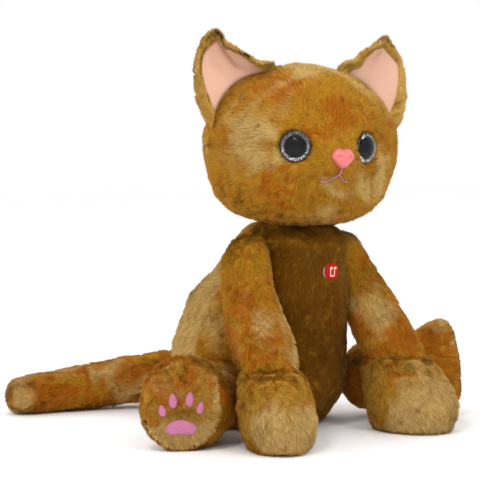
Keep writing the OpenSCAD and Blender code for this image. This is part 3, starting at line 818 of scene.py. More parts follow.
def new_group(name, inputs):
    """A group that gives a colour, a roughness and a height."""
    group = bpy.data.node_groups.new(name, "ShaderNodeTree")
    for key, kind, value in inputs:
        socket = group.interface.new_socket(key, in_out="INPUT", socket_type="NodeSocket" + kind)
        socket.default_value = value
    for key, kind in (("Color", "Color"), ("Roughness", "Float"), ("Height", "Float")):
        group.interface.new_socket(key, in_out="OUTPUT", socket_type="NodeSocket" + kind)
    n = Nodes(group)
    return group, n, n.add("NodeGroupInput").outputs, n.add("NodeGroupOutput").inputs


def dyed_pile_group():
    """Blotchy hand-dyed pile: four dyes in soft patches, the brown one also carrying painted shade,
    with painted shade at the roots of the tufts, streaked by tuft.
    """
    group, n, given, out = new_group("Dyed pile", [
        ("Gold", "Color", tint("C08620")), ("Rust", "Color", tint("BC6C14")),
        ("Cream", "Color", tint("DAB46C")), ("Brown", "Color", tint("764806")),
        ("Root Painted Shade", "Float", 0.6), ("Patch Shift", "Float", 0.0)])
    move = n.add("ShaderNodeVectorMath", _operation="ADD")
    n.join(n.place(), move.inputs[0])
    n.join(given["Patch Shift"], move.inputs[1])
    at = move.outputs[0]
    wide = n.noise(at, 21, 2.5, 0.55, 0.9)
    middling = n.noise(at, 47, 3.0, 0.6, 1.4)
    small = n.noise(at, 120, 2.0, 0.6, 0.6)
    fine = n.noise(at, 900, 1.0, 0.5)
    colour = given["Gold"]
    # the brown layer lays both brown dye and painted shade, after its mask
    for dye, cloud, pull, low, high, most in (
            ("Rust", middling, 0.30, 0.50, 0.70, 1.0), ("Cream", wide, 0.34, 0.53, 0.74, 0.88),
            ("Brown", small, 0.40, 0.56, 0.86, 0.9)):
        painted = n.sum("MULTIPLY", n.field("dye_" + dye.lower()), pull)
        share = n.ramp(n.sum("ADD", cloud, painted), low, high)
        colour = n.mix(n.sum("MULTIPLY", share, most), colour, given[dye])
    strand = n.ramp(n.field("tuft"), 0.0, 1.0, 0.74, 1.18)
    strand = n.sum("MULTIPLY", strand, n.ramp(fine, 0.3, 0.7, 0.9, 1.1))
    # painted shade: the colour darkens towards the roots of the tufts, where they shade each other
    root = n.add("ShaderNodeMapRange")
    n.join(n.field("pile"), root.inputs[0])
    n.join(given["Root Painted Shade"], root.inputs[3])
    root.inputs[4].default_value = 1.0
    n.join(n.shaded(colour, n.sum("MULTIPLY", strand, root.outputs[0])), out["Color"])
    n.join(n.ramp(fine, 0.2, 0.8, 0.72, 0.95), out["Roughness"])
    n.join(fine, out["Height"])
    return group


def fine_grain_group():
    """Close grain of a finish: tone, gloss and height vary a little over the surface."""
    group, n, given, out = new_group("Fine grain", [
        ("Color", "Color", (0.8, 0.8, 0.8, 1)), ("Scale", "Float", 600.0),
        ("Tone", "Float", 0.1), ("Rough", "Float", 0.5), ("Rough Spread", "Float", 0.1)])
    at = n.place()
    grain = n.add("ShaderNodeTexNoise", Detail=2.0, Roughness=0.6)
    n.join(at, grain.inputs["Vector"])
    n.join(given["Scale"], grain.inputs["Scale"])
    cloud = n.noise(at, 55, 2.0)
    spread = n.sum("SUBTRACT", n.sum("ADD", grain.outputs["Fac"], cloud), 1.0)
    tone = n.sum("ADD", n.sum("MULTIPLY", spread, given["Tone"]), 1.0)
    n.join(n.shaded(given["Color"], tone), out["Color"])
    n.join(n.sum("ADD", given["Rough"], n.sum("MULTIPLY", spread, given["Rough Spread"])),
           out["Roughness"])
    n.join(grain.outputs["Fac"], out["Height"])
    return group


def knit_group():
    """Fine knit or satin stitch: close rows of thread, with a soft sheen line on each."""
    group, n, given, out = new_group("Thread rows", [
        ("Color", "Color", (0.8, 0.6, 0.5, 1)), ("Rows per Metre", "Float", 1400.0),
        ("Tone", "Float", 0.12)])
    at = n.place()
    rows = n.add("ShaderNodeTexWave", Distortion=1.2, Detail=1.0, _bands_direction="DIAGONAL")
    n.join(at, rows.inputs["Vector"])
    n.join(given["Rows per Metre"], rows.inputs["Scale"])
    cloud = n.noise(at, 90, 2.0)
    tone = n.sum("SUBTRACT", n.sum("ADD", rows.outputs["Fac"], cloud), 1.0)
    tone = n.sum("ADD", n.sum("MULTIPLY", tone, given["Tone"]), 1.0)
    n.join(n.shaded(given["Color"], tone), out["Color"])
    n.join(n.ramp(cloud, 0.3, 0.7, 0.42, 0.6), out["Roughness"])
    n.join(rows.outputs["Fac"], out["Height"])
    return group


DYED_PILE, FINE_GRAIN, THREAD_ROWS = dyed_pile_group(), fine_grain_group(), knit_group()


def new_material(name, **settings):
    material = bpy.data.materials.new(name)
    material.use_nodes = True
    shader = material.node_tree.nodes["Principled BSDF"].inputs
    for key, value in settings.items():
        shader[key.replace("_", " ")].default_value = value
    return material, Nodes(material.node_tree), shader


def finish(name, group, bump_height, strength, given, **settings):
    """A material: a group's colour, gloss and height on one shader."""
    material, n, shader = new_material(name, **settings)
    look = n.add("ShaderNodeGroup", _node_tree=group)
    for key, value in given.items():
        look.inputs[key].default_value = value
    n.join(look.outputs["Color"], shader["Base Color"])
    n.join(look.outputs["Roughness"], shader["Roughness"])
    relief = n.add("ShaderNodeBump", Strength=strength, Distance=bump_height)
    n.join(look.outputs["Height"], relief.inputs["Height"])
    n.join(relief.outputs["Normal"], shader["Normal"])
    return material


def fur(name, shift, root=0.62, **colours):
    # root: how dark the painted shade at the roots of the tufts is
    given = {"Patch Shift": shift, "Root Painted Shade": root}
    given.update({k.capitalize(): tint(v) for k, v in colours.items()})
    return finish(name, DYED_PILE, 0.0003, 0.3, given, Sheen_Weight=0.06, Sheen_Roughness=0.5,
                  Sheen_Tint=tint("FFD890"), Specular_IOR_Level=0.08)


def grain(name, colour, rough=0.4, spread=0.1, tone=0.1, scale=700.0, **settings):
    return finish(name, FINE_GRAIN, 0.00008, 0.25, {
        "Color": tint(colour), "Rough": rough, "Rough Spread": spread, "Tone": tone,
        "Scale": scale}, **settings)


FUR_TORSO = fur("golden plush, body", 0.0)
FUR_HEAD = fur("golden plush, head", 1.3)
FUR_EAR = fur("golden plush, ears", 2.1, gold="D2A24C", cream="DDB768", rust="C8923C")
FUR_ARM = fur("golden plush, arms", 3.2)
FUR_PAW = fur("cream-tipped plush, paws", 4.4, gold="C48E30", cream="DDB670")
FUR_LEG = fur("golden plush, legs", 5.7)
FUR_SOLE = fur("clipped plush, soles", 6.6, root=0.55, gold="BE8830", cream="D6B068")
FUR_TAIL = fur("golden plush, tail", 7.9)
FUR_SEAT = fur("short plush, seat", 8.8, root=0.6)
SATIN = finish("peach satin knit", THREAD_ROWS, 0.00006, 0.2, {
    "Color": tint("D9A88E"), "Rows per Metre": 1500.0, "Tone": 0.05},
    Sheen_Weight=0.35, Sheen_Roughness=0.3)
PAD_STITCH = finish("mauve satin stitch", THREAD_ROWS, 0.0002, 0.7, {
    "Color": tint("BE6C92"), "Rows per Metre": 700.0, "Tone": 0.3},
    Sheen_Weight=0.3, Sheen_Roughness=0.3)
MOUTH_FLOSS = finish("mauve thread", THREAD_ROWS, 0.0001, 0.5, {
    "Color": tint("C0708E"), "Rows per Metre": 1600.0, "Tone": 0.25}, Sheen_Weight=0.2)
PATCH_CLOTH = finish("red printed cloth", THREAD_ROWS, 0.00008, 0.4, {
    "Color": tint("A8160C"), "Rows per Metre": 1300.0, "Tone": 0.18}, Specular_IOR_Level=0.1)
NOTE_PRINT = grain("pale print", "E2BCAA", 0.6, 0.1, 0.08)
NOSE_PLASTIC = grain("salmon plastic", "DC6C6C", 0.26, 0.08, 0.05, 500.0,
                     Subsurface_Weight=0.08, Subsurface_Radius=(0.002, 0.001, 0.001),
                     Coat_Weight=0.35, Coat_Roughness=0.15)
EYE_BLACK = grain("black eye plastic", "050507", 0.5, 0.05, 0.05, 400.0, Specular_IOR_Level=0.0)
EYE_RIM = grain("dark rim plastic", "2C2D31", 0.25, 0.08, 0.1, 400.0)
WADDING = grain("white wadding", "EFEFEA", 0.92, 0.05, 0.1, 350.0, Sheen_Weight=0.2)
COTTON = grain("cotton pellet bag", "E6E0D2", 0.85, 0.08, 0.12, 500.0)
CASE_PLASTIC = grain("white case plastic", "E4E2DC", 0.45, 0.1, 0.04, 900.0)
WASHER_PLASTIC = grain("white washer plastic", "E9E8E2", 0.38, 0.1, 0.03, 900.0)
BOARD = grain("green board", "14602C", 0.4, 0.12, 0.2, 1200.0)
CELL_STEEL = grain("plated steel", "BFBFBD", 0.28, 0.12, 0.06, 1500.0, Metallic=1.0)
SPEAKER_PAPER = grain("dark speaker paper", "26262A", 0.7, 0.1, 0.2, 800.0)


def glitter_material():
    """Silver flakes under the clear dome, each with its own tilt and brightness; painted light
    makes the lower flakes brighter than the upper ones, and a few flakes glow as painted glints.
    """
    material, n, shader = new_material("silver glitter", Metallic=0.85, Roughness=0.22,
                                       Emission_Strength=0.5)
    flakes = n.add("ShaderNodeTexVoronoi", Scale=1500.0)
    n.join(n.place(), flakes.inputs["Vector"])
    split = n.add("ShaderNodeSeparateColor")
    n.join(flakes.outputs["Color"], split.inputs[0])
    bright = n.ramp(split.outputs[0], 0.35, 1.0)
    # painted light: the flakes are painted brighter towards the bottom of the ring and darker at
    # its top
    lit = n.sum("MULTIPLY", bright, n.ramp(n.field("low"), -0.9, 0.7, 0.12, 1.0))
    n.join(n.mix(lit, tint("3A3B42"), tint("F4F5FC")), shader["Base Color"])
    # painted glints: a few flakes glow by emission
    n.join(n.mix(n.ramp(split.outputs[1], 0.86, 0.98), (0, 0, 0, 1), tint("C8C8D0")),
           shader["Emission Color"])
    relief = n.add("ShaderNodeBump", Strength=0.9, Distance=0.0003)
    n.join(split.outputs[2], relief.inputs["Height"])
    n.join(relief.outputs["Normal"], shader["Normal"])
    return material


def clear_material():
    """Hard clear plastic with a faint smear."""
    material, n, shader = new_material(
        "clear dome plastic", Base_Color=(1, 1, 1, 1), Transmission_Weight=1.0, IOR=1.12,
        Coat_Weight=1.0, Coat_IOR=1.3, Coat_Roughness=0.02)
    n.join(n.ramp(n.noise(n.place(), 160, 2.0), 0.45, 0.8, 0.01, 0.05), shader["Roughness"])
    return material


GLITTER, CLEAR_DOME = glitter_material(), clear_material()


# ---------------------------------------------------------------- dyes, painted shade and clipping
def spots(places):
    """Soft spots of dye and of painted shade: (x, y, z, size, strength) each, in the head's frame
    or the toy's.
    """
    def field(p):
        total = 0
        for x, y, z, size, strength in places:
            total = total + strength * bump(np.linalg.norm(p - [x, y, z], axis=-1), size)
        return total
    return field


HEAD_RUST = spots([(7, -59, 31, 12, 1.3), (-35, -32, 45, 17, 1.0), (-20, -60, 12, 10, 0.5),
                   (-10, -80, -22, 12, 0.5), (-40, -45, -25, 18, 0.5)])
HEAD_CREAM = spots([(-57, -37, 8, 17, 0.9), (50, -52, -11, 18, 0.45), (-3, -10, 62, 30, 0.55),
                    (1, -52, -47, 14, 0.9), (40, -30, 45, 20, 0.4), (-40, -52, -8, 12, 0.6)])
# painted shade: the spots in the mouth corners, in the cheek crease on the right, round the left
# eye on the side away from the key light, and under the chin; the low spot on the right cheek is
# brown dye
HEAD_BROWN_AND_PAINTED_SHADE = spots([(-55, -11, -40, 18, 0.5), (-58, -24, -14, 7, 0.5), (14, -77, -24, 7, 0.45),
                    (30, -62, 3, 16, 0.35), (-14, -77, -24, 7, 0.2), (-20, -20, -58, 24, 0.6)])


def in_head(field):
    return lambda p: field(to_head(p))


HEAD_DYES = {"dye_rust": in_head(HEAD_RUST), "dye_cream": in_head(HEAD_CREAM),
             "dye_brown": in_head(HEAD_BROWN_AND_PAINTED_SHADE)}


def torso_brown_and_painted_shade(p):
    # the belly is dyed darker and also takes painted shade between the arms; the band low down is
    # painted shade by the floor
    belly = ease(20, -30, p[..., 1]) * ease(176, 158, p[..., 2])
    return 0.98 * belly + 0.5 * ease(14, 2, p[..., 2])


TORSO_DYES = {
    "dye_brown": torso_brown_and_painted_shade,
    "dye_rust": spots([(-20, 50, 110, 26, 0.6), (40, 80, 60, 30, 0.5)]),
    "dye_cream": lambda p: bump(np.linalg.norm((p - [-14, -46, 138]) / [1, 2, 1], axis=-1), 13)
    + 1.15 * ease(10, 60, p[..., 1]) * ease(-5, -35, p[..., 0])
    # less cream on the front: painted shade between the arms
    - 0.5 * ease(20, -30, p[..., 1])}


def arm_dyes(side):
    def cream(p):
        inner = ease(64, 46, side * p[..., 0]) * ease(45, 70, p[..., 2]) * ease(150, 120, p[..., 2])
        front = ease(-66, -92, p[..., 1]) * ease(52, 20, p[..., 2])
        return (0.15 if side > 0 else 0.75) * inner + 0.9 * front
    return {"dye_cream": cream,
            "dye_rust": lambda p: 0.5 * ease(150, 80, p[..., 2]) * ease(40, 80, p[..., 2]),
            # a darker band round the wrist, and painted shade on the arm's inner side, towards the
            # body
            "dye_brown": lambda p: (0.55 * bump(p[..., 2] - 57, 6)
                                    + 0.3 * ease(40, 20, side * p[..., 0]))}


LEG_DYES = {"dye_cream": lambda p: 0.25 * ease(30, 60, p[..., 2]),
            "dye_rust": lambda p: 0.45 + 0 * p[..., 2],
            # painted shade low down, by the floor
            "dye_brown": lambda p: 0.5 * ease(12, 1, p[..., 2])}
SOLE_DYES = {"dye_cream": lambda p: 0.35 + 0.5 * bump(p[..., 2] - 10, 9),
             "dye_rust": lambda p: 0.35 * bump(p[..., 2] - 52, 16),
             "dye_brown": lambda p: 0.35 * ease(40, 66, p[..., 2])}
TAIL_DYES = {"dye_rust": lambda p: 0.55 + 0.5 * np.sin(p[..., 0] / 5.5 + 0.3 * p[..., 1]),
             # painted shade low down, by the floor, over brown stripes
             "dye_brown": lambda p: 0.45 * ease(10, 1, p[..., 2])
             + 0.3 * np.sin(p[..., 0] / 5.5 + 0.3 * p[..., 1] + 0.8),
             "dye_cream": lambda p: 0.3 * ease(-40, -110, p[..., 0])}
EAR_DYES = {"dye_cream": lambda p: 0.1 + 0 * p[..., 0], "dye_rust": lambda p: 0.1 + 0 * p[..., 0],
            "dye_brown": lambda p: 0 * p[..., 0]}


def head_trim(p):
    q = to_head(p)
    e = eye_frame(q)
    eye = np.hypot(e[..., 0], e[..., 1])
    keep = ease(EYE_R - 0.2, EYE_R + 6, eye)
    nose_side = ease(4, -8, e[..., 0])
    least = 0.25 + 0.65 * nose_side
    keep = np.where(eye < EYE_R + 0.4 - 0.9 * nose_side, 0.0, least + (1 - least) * keep)
    nose = np.hypot(q[..., 0], q[..., 2] - NOSE_Z)
    keep = np.minimum(keep, 0.3 + 0.7 * ease(8, 15, nose))
    mouth = np.abs(q[..., 2] - mouth_height(q[..., 0]))
    near = np.maximum(ease(1.0, 3.4, mouth), ease(12, 15, np.abs(q[..., 0])))
    keep = np.minimum(keep, 0.2 + 0.8 * near)
    snout = bump(np.hypot(q[..., 0], q[..., 2] + 11), 24)
    keep = keep * (1 - 0.3 * snout)
    return np.where(q[..., 1] < -30, keep, 1.0)


def head_comb(p, n):
    """Pile runs away from the nose, over the crown and down the cheeks."""
    q = to_head(p)
    away = unit(q - [0, -88, -6])
    fall = np.zeros_like(q)
    fall[..., 2] = -0.35
    return (away + fall) @ HEAD_TURN.T


def patch_trim(p):
    d = np.hypot(p[..., 0] - PATCH[0], p[..., 2] - PATCH[2])
    return np.where(p[..., 1] < -20, 0.12 + 0.88 * ease(6.5, 9.5, d), 1.0)


def comb_along(vector):
    return lambda p, n: np.asarray(vector, float)


def leg_comb(name):
    az = LEGS[name][0]
    toward = np.array([math.sin(az), -math.cos(az), 0])
    return lambda p, n: toward * 0.8 - UP * 0.5 + 0 * p


def sole_comb(name):
    centre = from_sole([0, 34, 4], name)
    return lambda p, n: unit(p - centre)


def tail_comb(p, n):
    near = ((p[..., None, :2] - TAIL_PATH[:, :2]) ** 2).sum(-1).argmin(-1)
    ahead = np.gradient(TAIL_PATH, axis=0)[near]
    return unit(ahead * [1, 1, 0]) - 0.25 * UP


def ear_trim(side):
    """No pile under the lining: each point takes what holds at the nearest place on the ear."""
    u, v = np.meshgrid(np.linspace(0, 1, 240, endpoint=False), np.linspace(0, 1, 90))
    q, t, s = ear_section(u, v)
    bare = ((s < 0) & (np.abs(q) < 0.70) & (t < 0.82)).astype(float)

    def trim(p):
        places = ear_shape(side)(u, v)[::2, ::2].reshape(-1, 3)
        flat = p.reshape(-1, 3)
        bare_places = bare[::2, ::2].reshape(-1)
        near = np.empty(len(flat), int)
        for start in range(0, len(flat), 4000):
            part = flat[start:start + 4000]
            near[start:start + 4000] = ((part[:, None] - places[None]) ** 2).sum(-1).argmin(1)
        return (1 - bare_places[near]).reshape(p.shape[:-1])
    return trim


def ear_comb(side):
    tip = from_head(EAR_TIP * [side, 1, 1])
    root = from_head(EAR_MIDDLE * [side, 1, 1])
    return lambda p, n: unit(tip - root) + 0 * p


# ---------------------------------------------------------------- the toy
def dress(piece, body, slot, *replaced, fill=None):
    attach(piece, body)
    if replaced:
        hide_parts(*replaced)
    return piece


def stuff(body, shape, depth, seed, keep=None, fill=0.8):
    """Wadding inside a body, that far under its shape."""
    dress(closed_form(f"{body}_wadding", shape, WADDING, depth, seed=seed, keep=keep), body,
          "wadding", f"{body}_fill", fill=fill)


def make_torso():
    panel = dict(comb=comb_along((0, 0.15, -1)), trim=patch_trim, dyes=TORSO_DYES, relief=10,
                 tuck=0.4)
    split = 50 / 360    # the front panel's half width round the body
    for name, seed, span in (("front", 11, (-split, split)), ("back_left", 21, (split, 0.5)),
                             ("back_right", 31, (0.5, 1 - split))):
        dress(fur_piece(f"torso_{name}_fur", torso_shape, (*span, 0, 1), False, FUR_TORSO,
                        seed=seed, **panel),
              "torso", "golden_fur", f"torso_{name}_panel", fill=0.8)
    seat = fur_piece("seat_cloth", seat_shape, (0, 1, 0, 1), True, FUR_SEAT, size=2.6, pile=0.9,
                     comb=comb_along((0, 1, 0)), sink=-0.3, tuck=0.2, seed=41, out=-1, backing=-1.6)
    dress(seat, "torso", "seat_cloth", "seat_panel")
    stuff("torso", torso_shape, 6.5, 43, keep=sound_room)
    neck = closed_form("neck_wadding", neck_shape, FUR_SEAT, 0.2, size=3, seed=47)
    dress(neck, "neck", "wadding", "neck_fill", fill=0.7)


def sound_room(p):
    """Leaves the wadding hollow round the sound case and over the pellet bag."""
    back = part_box("sound_case_front")[1][1]
    near = (np.abs(p[..., 0]) < 24) & (p[..., 1] < 0) & (p[..., 2] > 98) & (p[..., 2] < 141)
    p[..., 1] = np.where(near, np.maximum(p[..., 1], back / MM + 14), p[..., 1])
    bag = (np.hypot(p[..., 0], p[..., 1] - SEAT_BACK) < 44) & (p[..., 2] < 40)
    p[..., 2] = np.where(bag, np.maximum(p[..., 2], 25.0), p[..., 2])
    return p


def make_head():
    seam = math.degrees(math.asin(GUSSET_HALF / HEAD_A)) / (180 * HEAD_SPAN)
    panel = dict(comb=head_comb, trim=head_trim, dyes=HEAD_DYES, tuck=0.0, relief=100,
                 out=outward_sign(head_shape))
    low, high = 0.5 - seam, 0.5 + seam
    for piece, node, seed, wrap, span in (
            ("head_left_fur", "head_left_panel", 101, True, (0, 1, high, 1)),
            ("head_right_fur", "head_right_panel", 111, True, (0, 1, 0, low)),
            ("head_gusset_fur", "head_gusset", 121, False, (1 / 3, 1, low, high)),
            ("chin_fur", "chin_panel", 131, False, (0, 1 / 3, low, high))):
        dress(fur_piece(piece, head_shape, span, wrap, FUR_HEAD, seed=seed, **panel),
              "head", "golden_fur", node, fill=0.9)

    def hollow(p):
        q = to_head(p)
        gap = np.array([0, HEAD_FORWARD, -HEAD_RISE])
        r = np.linalg.norm(q - gap, axis=-1)
        push = np.where((r < 27) & (q[..., 2] < -30), 27 - r, 0)
        q[..., 2] += push * 1.3
        return from_head(q)
    stuff("head", head_shape, 7.5, 143, keep=hollow, fill=0.9)


def make_eyes():
    out = spin("z", EYE_TURN) @ spin("x", math.pi / 2)
    for side, name in ((1, "left"), (-1, "right")):
        flip = np.diag([side, 1, 1])
        axes = HEAD_TURN @ flip @ out @ flip
        place = from_head(EYE_PLACE * [side, 1, 1])

        def part(piece, profile, material, slot, node, segments=72):
            lifted = [(r, h - 1.2) for r, h in profile]
            made = turned_piece(f"eye_{name}_{piece}", lifted, place, axes, material, segments)
            dress(made, "head", slot, f"eye_{name}_{node}")
        part("rim", [(0, -8.9), (1.8, -8.9), (2.4, -8.2), (2.4, -0.1), (11.4, -0.1), (12.0, 0.5),
                     (12.05, 1.6), (11.7, 2.0), (11.35, 1.9), (11.2, 1.25), (0, 1.2)],
             EYE_RIM, "eye_black", "base")
        part("iris", [(8.45, 1.25), (11.1, 1.25), (11.1, 1.9), (10.6, 1.98), (8.9, 1.7),
                      (8.45, 1.55), (8.45, 1.25)], GLITTER, "eye_glitter", "iris")
        part("pupil", [(0, 1.22), (8.3, 1.22), (8.4, 1.7), (8.0, 2.5), (7.0, 3.4), (5.4, 4.2),
                       (3, 4.8), (0, 5.0)], EYE_BLACK, "eye_black", "pupil")
        dome = [(0, 2.02), (11.3, 2.02), (11.55, 2.1), (11.6, 2.35)]
        for k in range(1, 15):
            a = math.radians(53 - 53 * k / 14)
            dome.append((14.5 * math.sin(a), 14.5 * math.cos(a) - 6.5))
        part("dome", dome, CLEAR_DOME, "eye_clear", "dome")
        washer = [(2.5, -6.4), (8.6, -6.4), (9, -6.0), (9, -5.2), (8.6, -4.9), (2.5, -4.9),
                  (2.5, -6.4)]
        part("washer", washer, WASHER_PLASTIC, "washer_plastic", "washer", 48)


def make_nose():
    """Two lobes above, drawn to a point below, with a dimple in each lobe."""
    base_y = -HEAD_B * math.sqrt(1 - (NOSE_Z / HEAD_C) ** 2) - muzzle(0, NOSE_Z)
    rings, turns = 14, 72
    points = []
    for k in range(rings + 1):
        rho = 1 - k / rings
        for i in range(turns):
            t = TURN * i / turns
            c, s = math.cos(t), math.sin(t)
            wide = 9.2 * (1 - 0.42 * max(-s, 0) ** 1.1)
            x = wide * c * (abs(c) ** -0.12 if abs(c) > 0.02 else 1)
            z = 7.4 * s - 1.6 * max(s, 0) * math.exp(-(x / 2.6) ** 2) + (-1.4 * max(-s, 0) ** 3)
            x, z = x * rho, z * rho
            high = 6.6 * max(1 - rho ** 2.6, 0) ** 0.5
            high -= 1.9 * math.exp(-((abs(x) - 4.7) ** 2 + (z - 0.6) ** 2) / 1.7)
            high -= 1.3 * math.exp(-(x / 1.5) ** 2) * max(s + 0.2, 0) * rho
            points.append([x, base_y - 0.2 - high, NOSE_Z - 0.2 + z])
    triangles = []
    for k in range(rings):
        for i in range(turns):
            m = (i + 1) % turns
            a, b = k * turns, (k + 1) * turns
            triangles += [[a + i, b + i, a + m], [a + m, b + i, b + m]]
    back = len(points)
    points += [[0, base_y + 1.5, NOSE_Z]]
    triangles += [[(i + 1) % turns, back, i] for i in range(turns)]
    nose = build_mesh("nose_button", from_head(points), np.array(triangles)[:, ::-1], NOSE_PLASTIC)
    dress(nose, "head", "nose_pink", "nose")
    washer = [(2.5, -8.5), (5.6, -8.5), (6, -8.1), (6, -7.3), (5.6, -6.9), (2.5, -6.9), (2.5, -8.5)]
    stud = turned_piece("nose_lock_washer", washer, from_head([0, base_y, NOSE_Z]),
                        HEAD_TURN @ spin("x", math.pi / 2), WASHER_PLASTIC, 48)
    dress(stud, "head", "washer_plastic", "nose_washer")


def make_mouth():
    """One line of thread from corner to corner, and a short stitch up to the nose."""
    points, triangles = [], []
    x, z = np.linspace(-11.6, 11.6, 90), np.linspace(-10.5, -16.6, 24)
    for x, z in ((x, mouth_height(x)), (0 * z, z)):
        level = np.maximum(1 - (x / HEAD_A) ** 2 - (z / HEAD_C) ** 2, 0)
        y = -HEAD_B * np.sqrt(level) - muzzle(x, z) - 0.9
        more, faces = thread(from_head(np.stack([x, y, z], -1)), 0.56, twist=5.0, strands=0.13)
        triangles += [[a + len(points) for a in face] for face in faces]
        points += more
    mouth = build_mesh("mouth_stitches", points, triangles, MOUTH_FLOSS)
    dress(mouth, "head", "mouth_floss", "mouth_thread")


def make_ears():
    for side, name in ((1, "left"), (-1, "right")):
        shape = ear_shape(side)
        pieces = [
            fur_piece(f"ear_{name}_fur", shape, (0, 1, 0, 1), True, FUR_EAR, size=1.35, pile=4.2,
                      comb=ear_comb(side), dyes=EAR_DYES, sink=0.2, tuck=0.3, seed=201 + side,
                      backing=0.9, trim=ear_trim(side)),
            lining_piece(f"ear_{name}_satin", ear_lining_shape(side), SATIN,
                         size=1.2, thick=0.8, tuck=1.2, out=side)]
        for piece, slot, node in zip(pieces, ("golden_fur", "pink_satin"), ("back", "lining")):
            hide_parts(f"ear_{name}_{node}")
            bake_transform(piece)


def make_arms():
    for side, name in ((1, "left"), (-1, "right")):
        shape = arm_shape(side)
        body, dyes = f"arm_{name}", arm_dyes(side)
        dress(fur_piece(f"arm_{name}_fur", shape, (0, 1, WRIST, 1), True, FUR_ARM,
                        seed=301 + 7 * side, comb=comb_along((0, -0.35, -1)), dyes=dyes, tuck=1.6),
              body, "golden_fur", f"arm_{name}_sleeve", fill=0.8)
        dress(fur_piece(f"paw_{name}_fur", shape, (0, 1, 0, WRIST), True, FUR_PAW,
                        seed=321 + 7 * side, comb=comb_along((0, -0.8, -0.75)), dyes=dyes,
                        tuck=1.6),
              body, "cream_fur", f"paw_{name}_cover", fill=0.85)
        stuff(body, shape, 6.0, 331 + side)


TOES = [(-14.2, 31.5, 2.8, 4.8, 14), (-6.2, 38.8, 3.2, 5.8, 6), (6.2, 39.6, 3.2, 5.8, -6),
        (14.2, 33.2, 2.8, 4.8, -14)]


def pad_outlines():
    t = np.radians(np.arange(0, 360, 7.5))
    notch = 2.4 * np.maximum(-np.sin(t), 0) ** 6
    lobes = [np.stack([11.6 * np.cos(t) * (1 - 0.12 * np.sin(t)),
                       18 + 6.8 * np.sin(t) + notch], -1)]
    for x, y, a, b, turn in TOES:
        c, s = math.cos(math.radians(turn)), math.sin(math.radians(turn))
        p, q = a * np.cos(t) * (1 - 0.18 * np.sin(t)), b * np.sin(t)
        lobes.append(np.stack([x + p * c - q * s, y + p * s + q * c], -1))
    return lobes


def sole_trim(name):
    lobes = pad_outlines()

    def trim(p):
        q = (p - from_sole([0, 0, 0], name)) @ np.stack(
            [from_sole([1, 0, 0], name) - from_sole([0, 0, 0], name),
             from_sole([0, 1, 0], name) - from_sole([0, 0, 0], name)], -1)
        keep = np.ones(p.shape[:-1])
        for lobe in lobes:
            core, size = lobe.mean(0), lobe.std(0) * 1.42
            d = np.linalg.norm((q - core) / size, axis=-1)
            keep = np.minimum(keep, 0.12 + 0.88 * ease(0.92, 1.3, d))
        return keep
    return trim


def make_legs():
    for name in ("left", "right"):
        shape, body = leg_shape(name), f"leg_{name}"
        seed = 401 if name == "left" else 451
        dress(fur_piece(f"leg_{name}_fur", shape, (0, 1, 0, 1), True, FUR_LEG, seed=seed,
                        comb=leg_comb(name), dyes=LEG_DYES, tuck=0.5), body, "golden_fur",
              f"leg_{name}_cover", fill=0.8)
        dress(fur_piece(f"sole_{name}_fur", sole_shape(name), (0, 1, 0, 1), True, FUR_SOLE,
                        seed=seed + 9, size=1.5, pile=3.0, lean=0.7, comb=sole_comb(name),
                        dyes=SOLE_DYES, trim=sole_trim(name), tuck=0.2, sink=0.2,
                        out=sole_sign(name)), body, "sole_fur", f"sole_{name}", fill=0.6)

        def on_sole(p):
            rho = np.hypot(p[:, 0] / SOLE_WIDE, (p[:, 1] - SOLE_MIDDLE) / SOLE_HIGH)
            face = sole_bulge(np.clip(rho, 0, 1))
            return from_sole(np.column_stack([p[:, 0], p[:, 1], face + p[:, 2]]), name)
        pads = padded_outline(f"sole_{name}_pad_stitches", pad_outlines(), 1.7, on_sole,
                              PAD_STITCH, stitch=0.14, pitch=1.3, lean=0.5)
        dress(pads, body, "pad_embroidery", f"sole_{name}_pads")
        stuff(body, shape, 6.0, seed + 5)


def sole_sign(name):
    shape = sole_shape(name)
    n = normals_of(shape, np.array([0.1]), np.array([0.3]), 1)[0, 0]
    toward = from_sole([0, 0, 1], name) - from_sole([0, 0, 0], name)
    return 1 if n @ toward > 0 else -1


def make_tail():
    dress(fur_piece("tail_fur", tail_shape, (0, 1, 0, 1), True, FUR_TAIL, seed=501, comb=tail_comb,
                    dyes=TAIL_DYES, tuck=0.4), "tail", "golden_fur", "tail_cover", fill=0.8)
    stuff("tail", tail_shape, 5.5, 511)


def make_button():
    out = spin("x", math.pi / 2)
    front = PATCH[1] - 0.6
    disc = [(0, -1.8), (5.6, -1.8), (6.7, -1.5), (7.0, -0.6), (6.8, 0.0), (6.2, 0.42), (4.5, 0.72),
            (2.2, 0.86), (0, 0.9)]
    patch = turned_piece("button_patch", disc, [PATCH[0], front, PATCH[2]], out, PATCH_CLOTH, 72)
    dress(patch, "music_button", "patch_red", "music_patch")

    def place(p):
        r = np.hypot(p[:, 0], p[:, 1])
        crown = 0.9 * (1 - np.clip(r / 7, 0, 1) ** 2)
        return np.column_stack([PATCH[0] + p[:, 0], front - crown - p[:, 2], PATCH[2] + p[:, 1]])
    t = np.radians(np.arange(0, 360, 15))
    shapes = []
    for x in (-2.0, 2.0):
        shapes.append(np.stack([x + 0.9 + 1.45 * np.cos(t), 2.7 + 1.15 * np.sin(t)], -1))
        shapes.append(bar(x - 0.65, x + 0.25, -3.6, 2.9))
    shapes.append(bar(-2.65, 2.25, -4.1, -2.8))
    note = padded_outline("button_note", shapes, 0.32, place, NOTE_PRINT, rings=4)
    dress(note, "music_button", "note_print", "music_note")


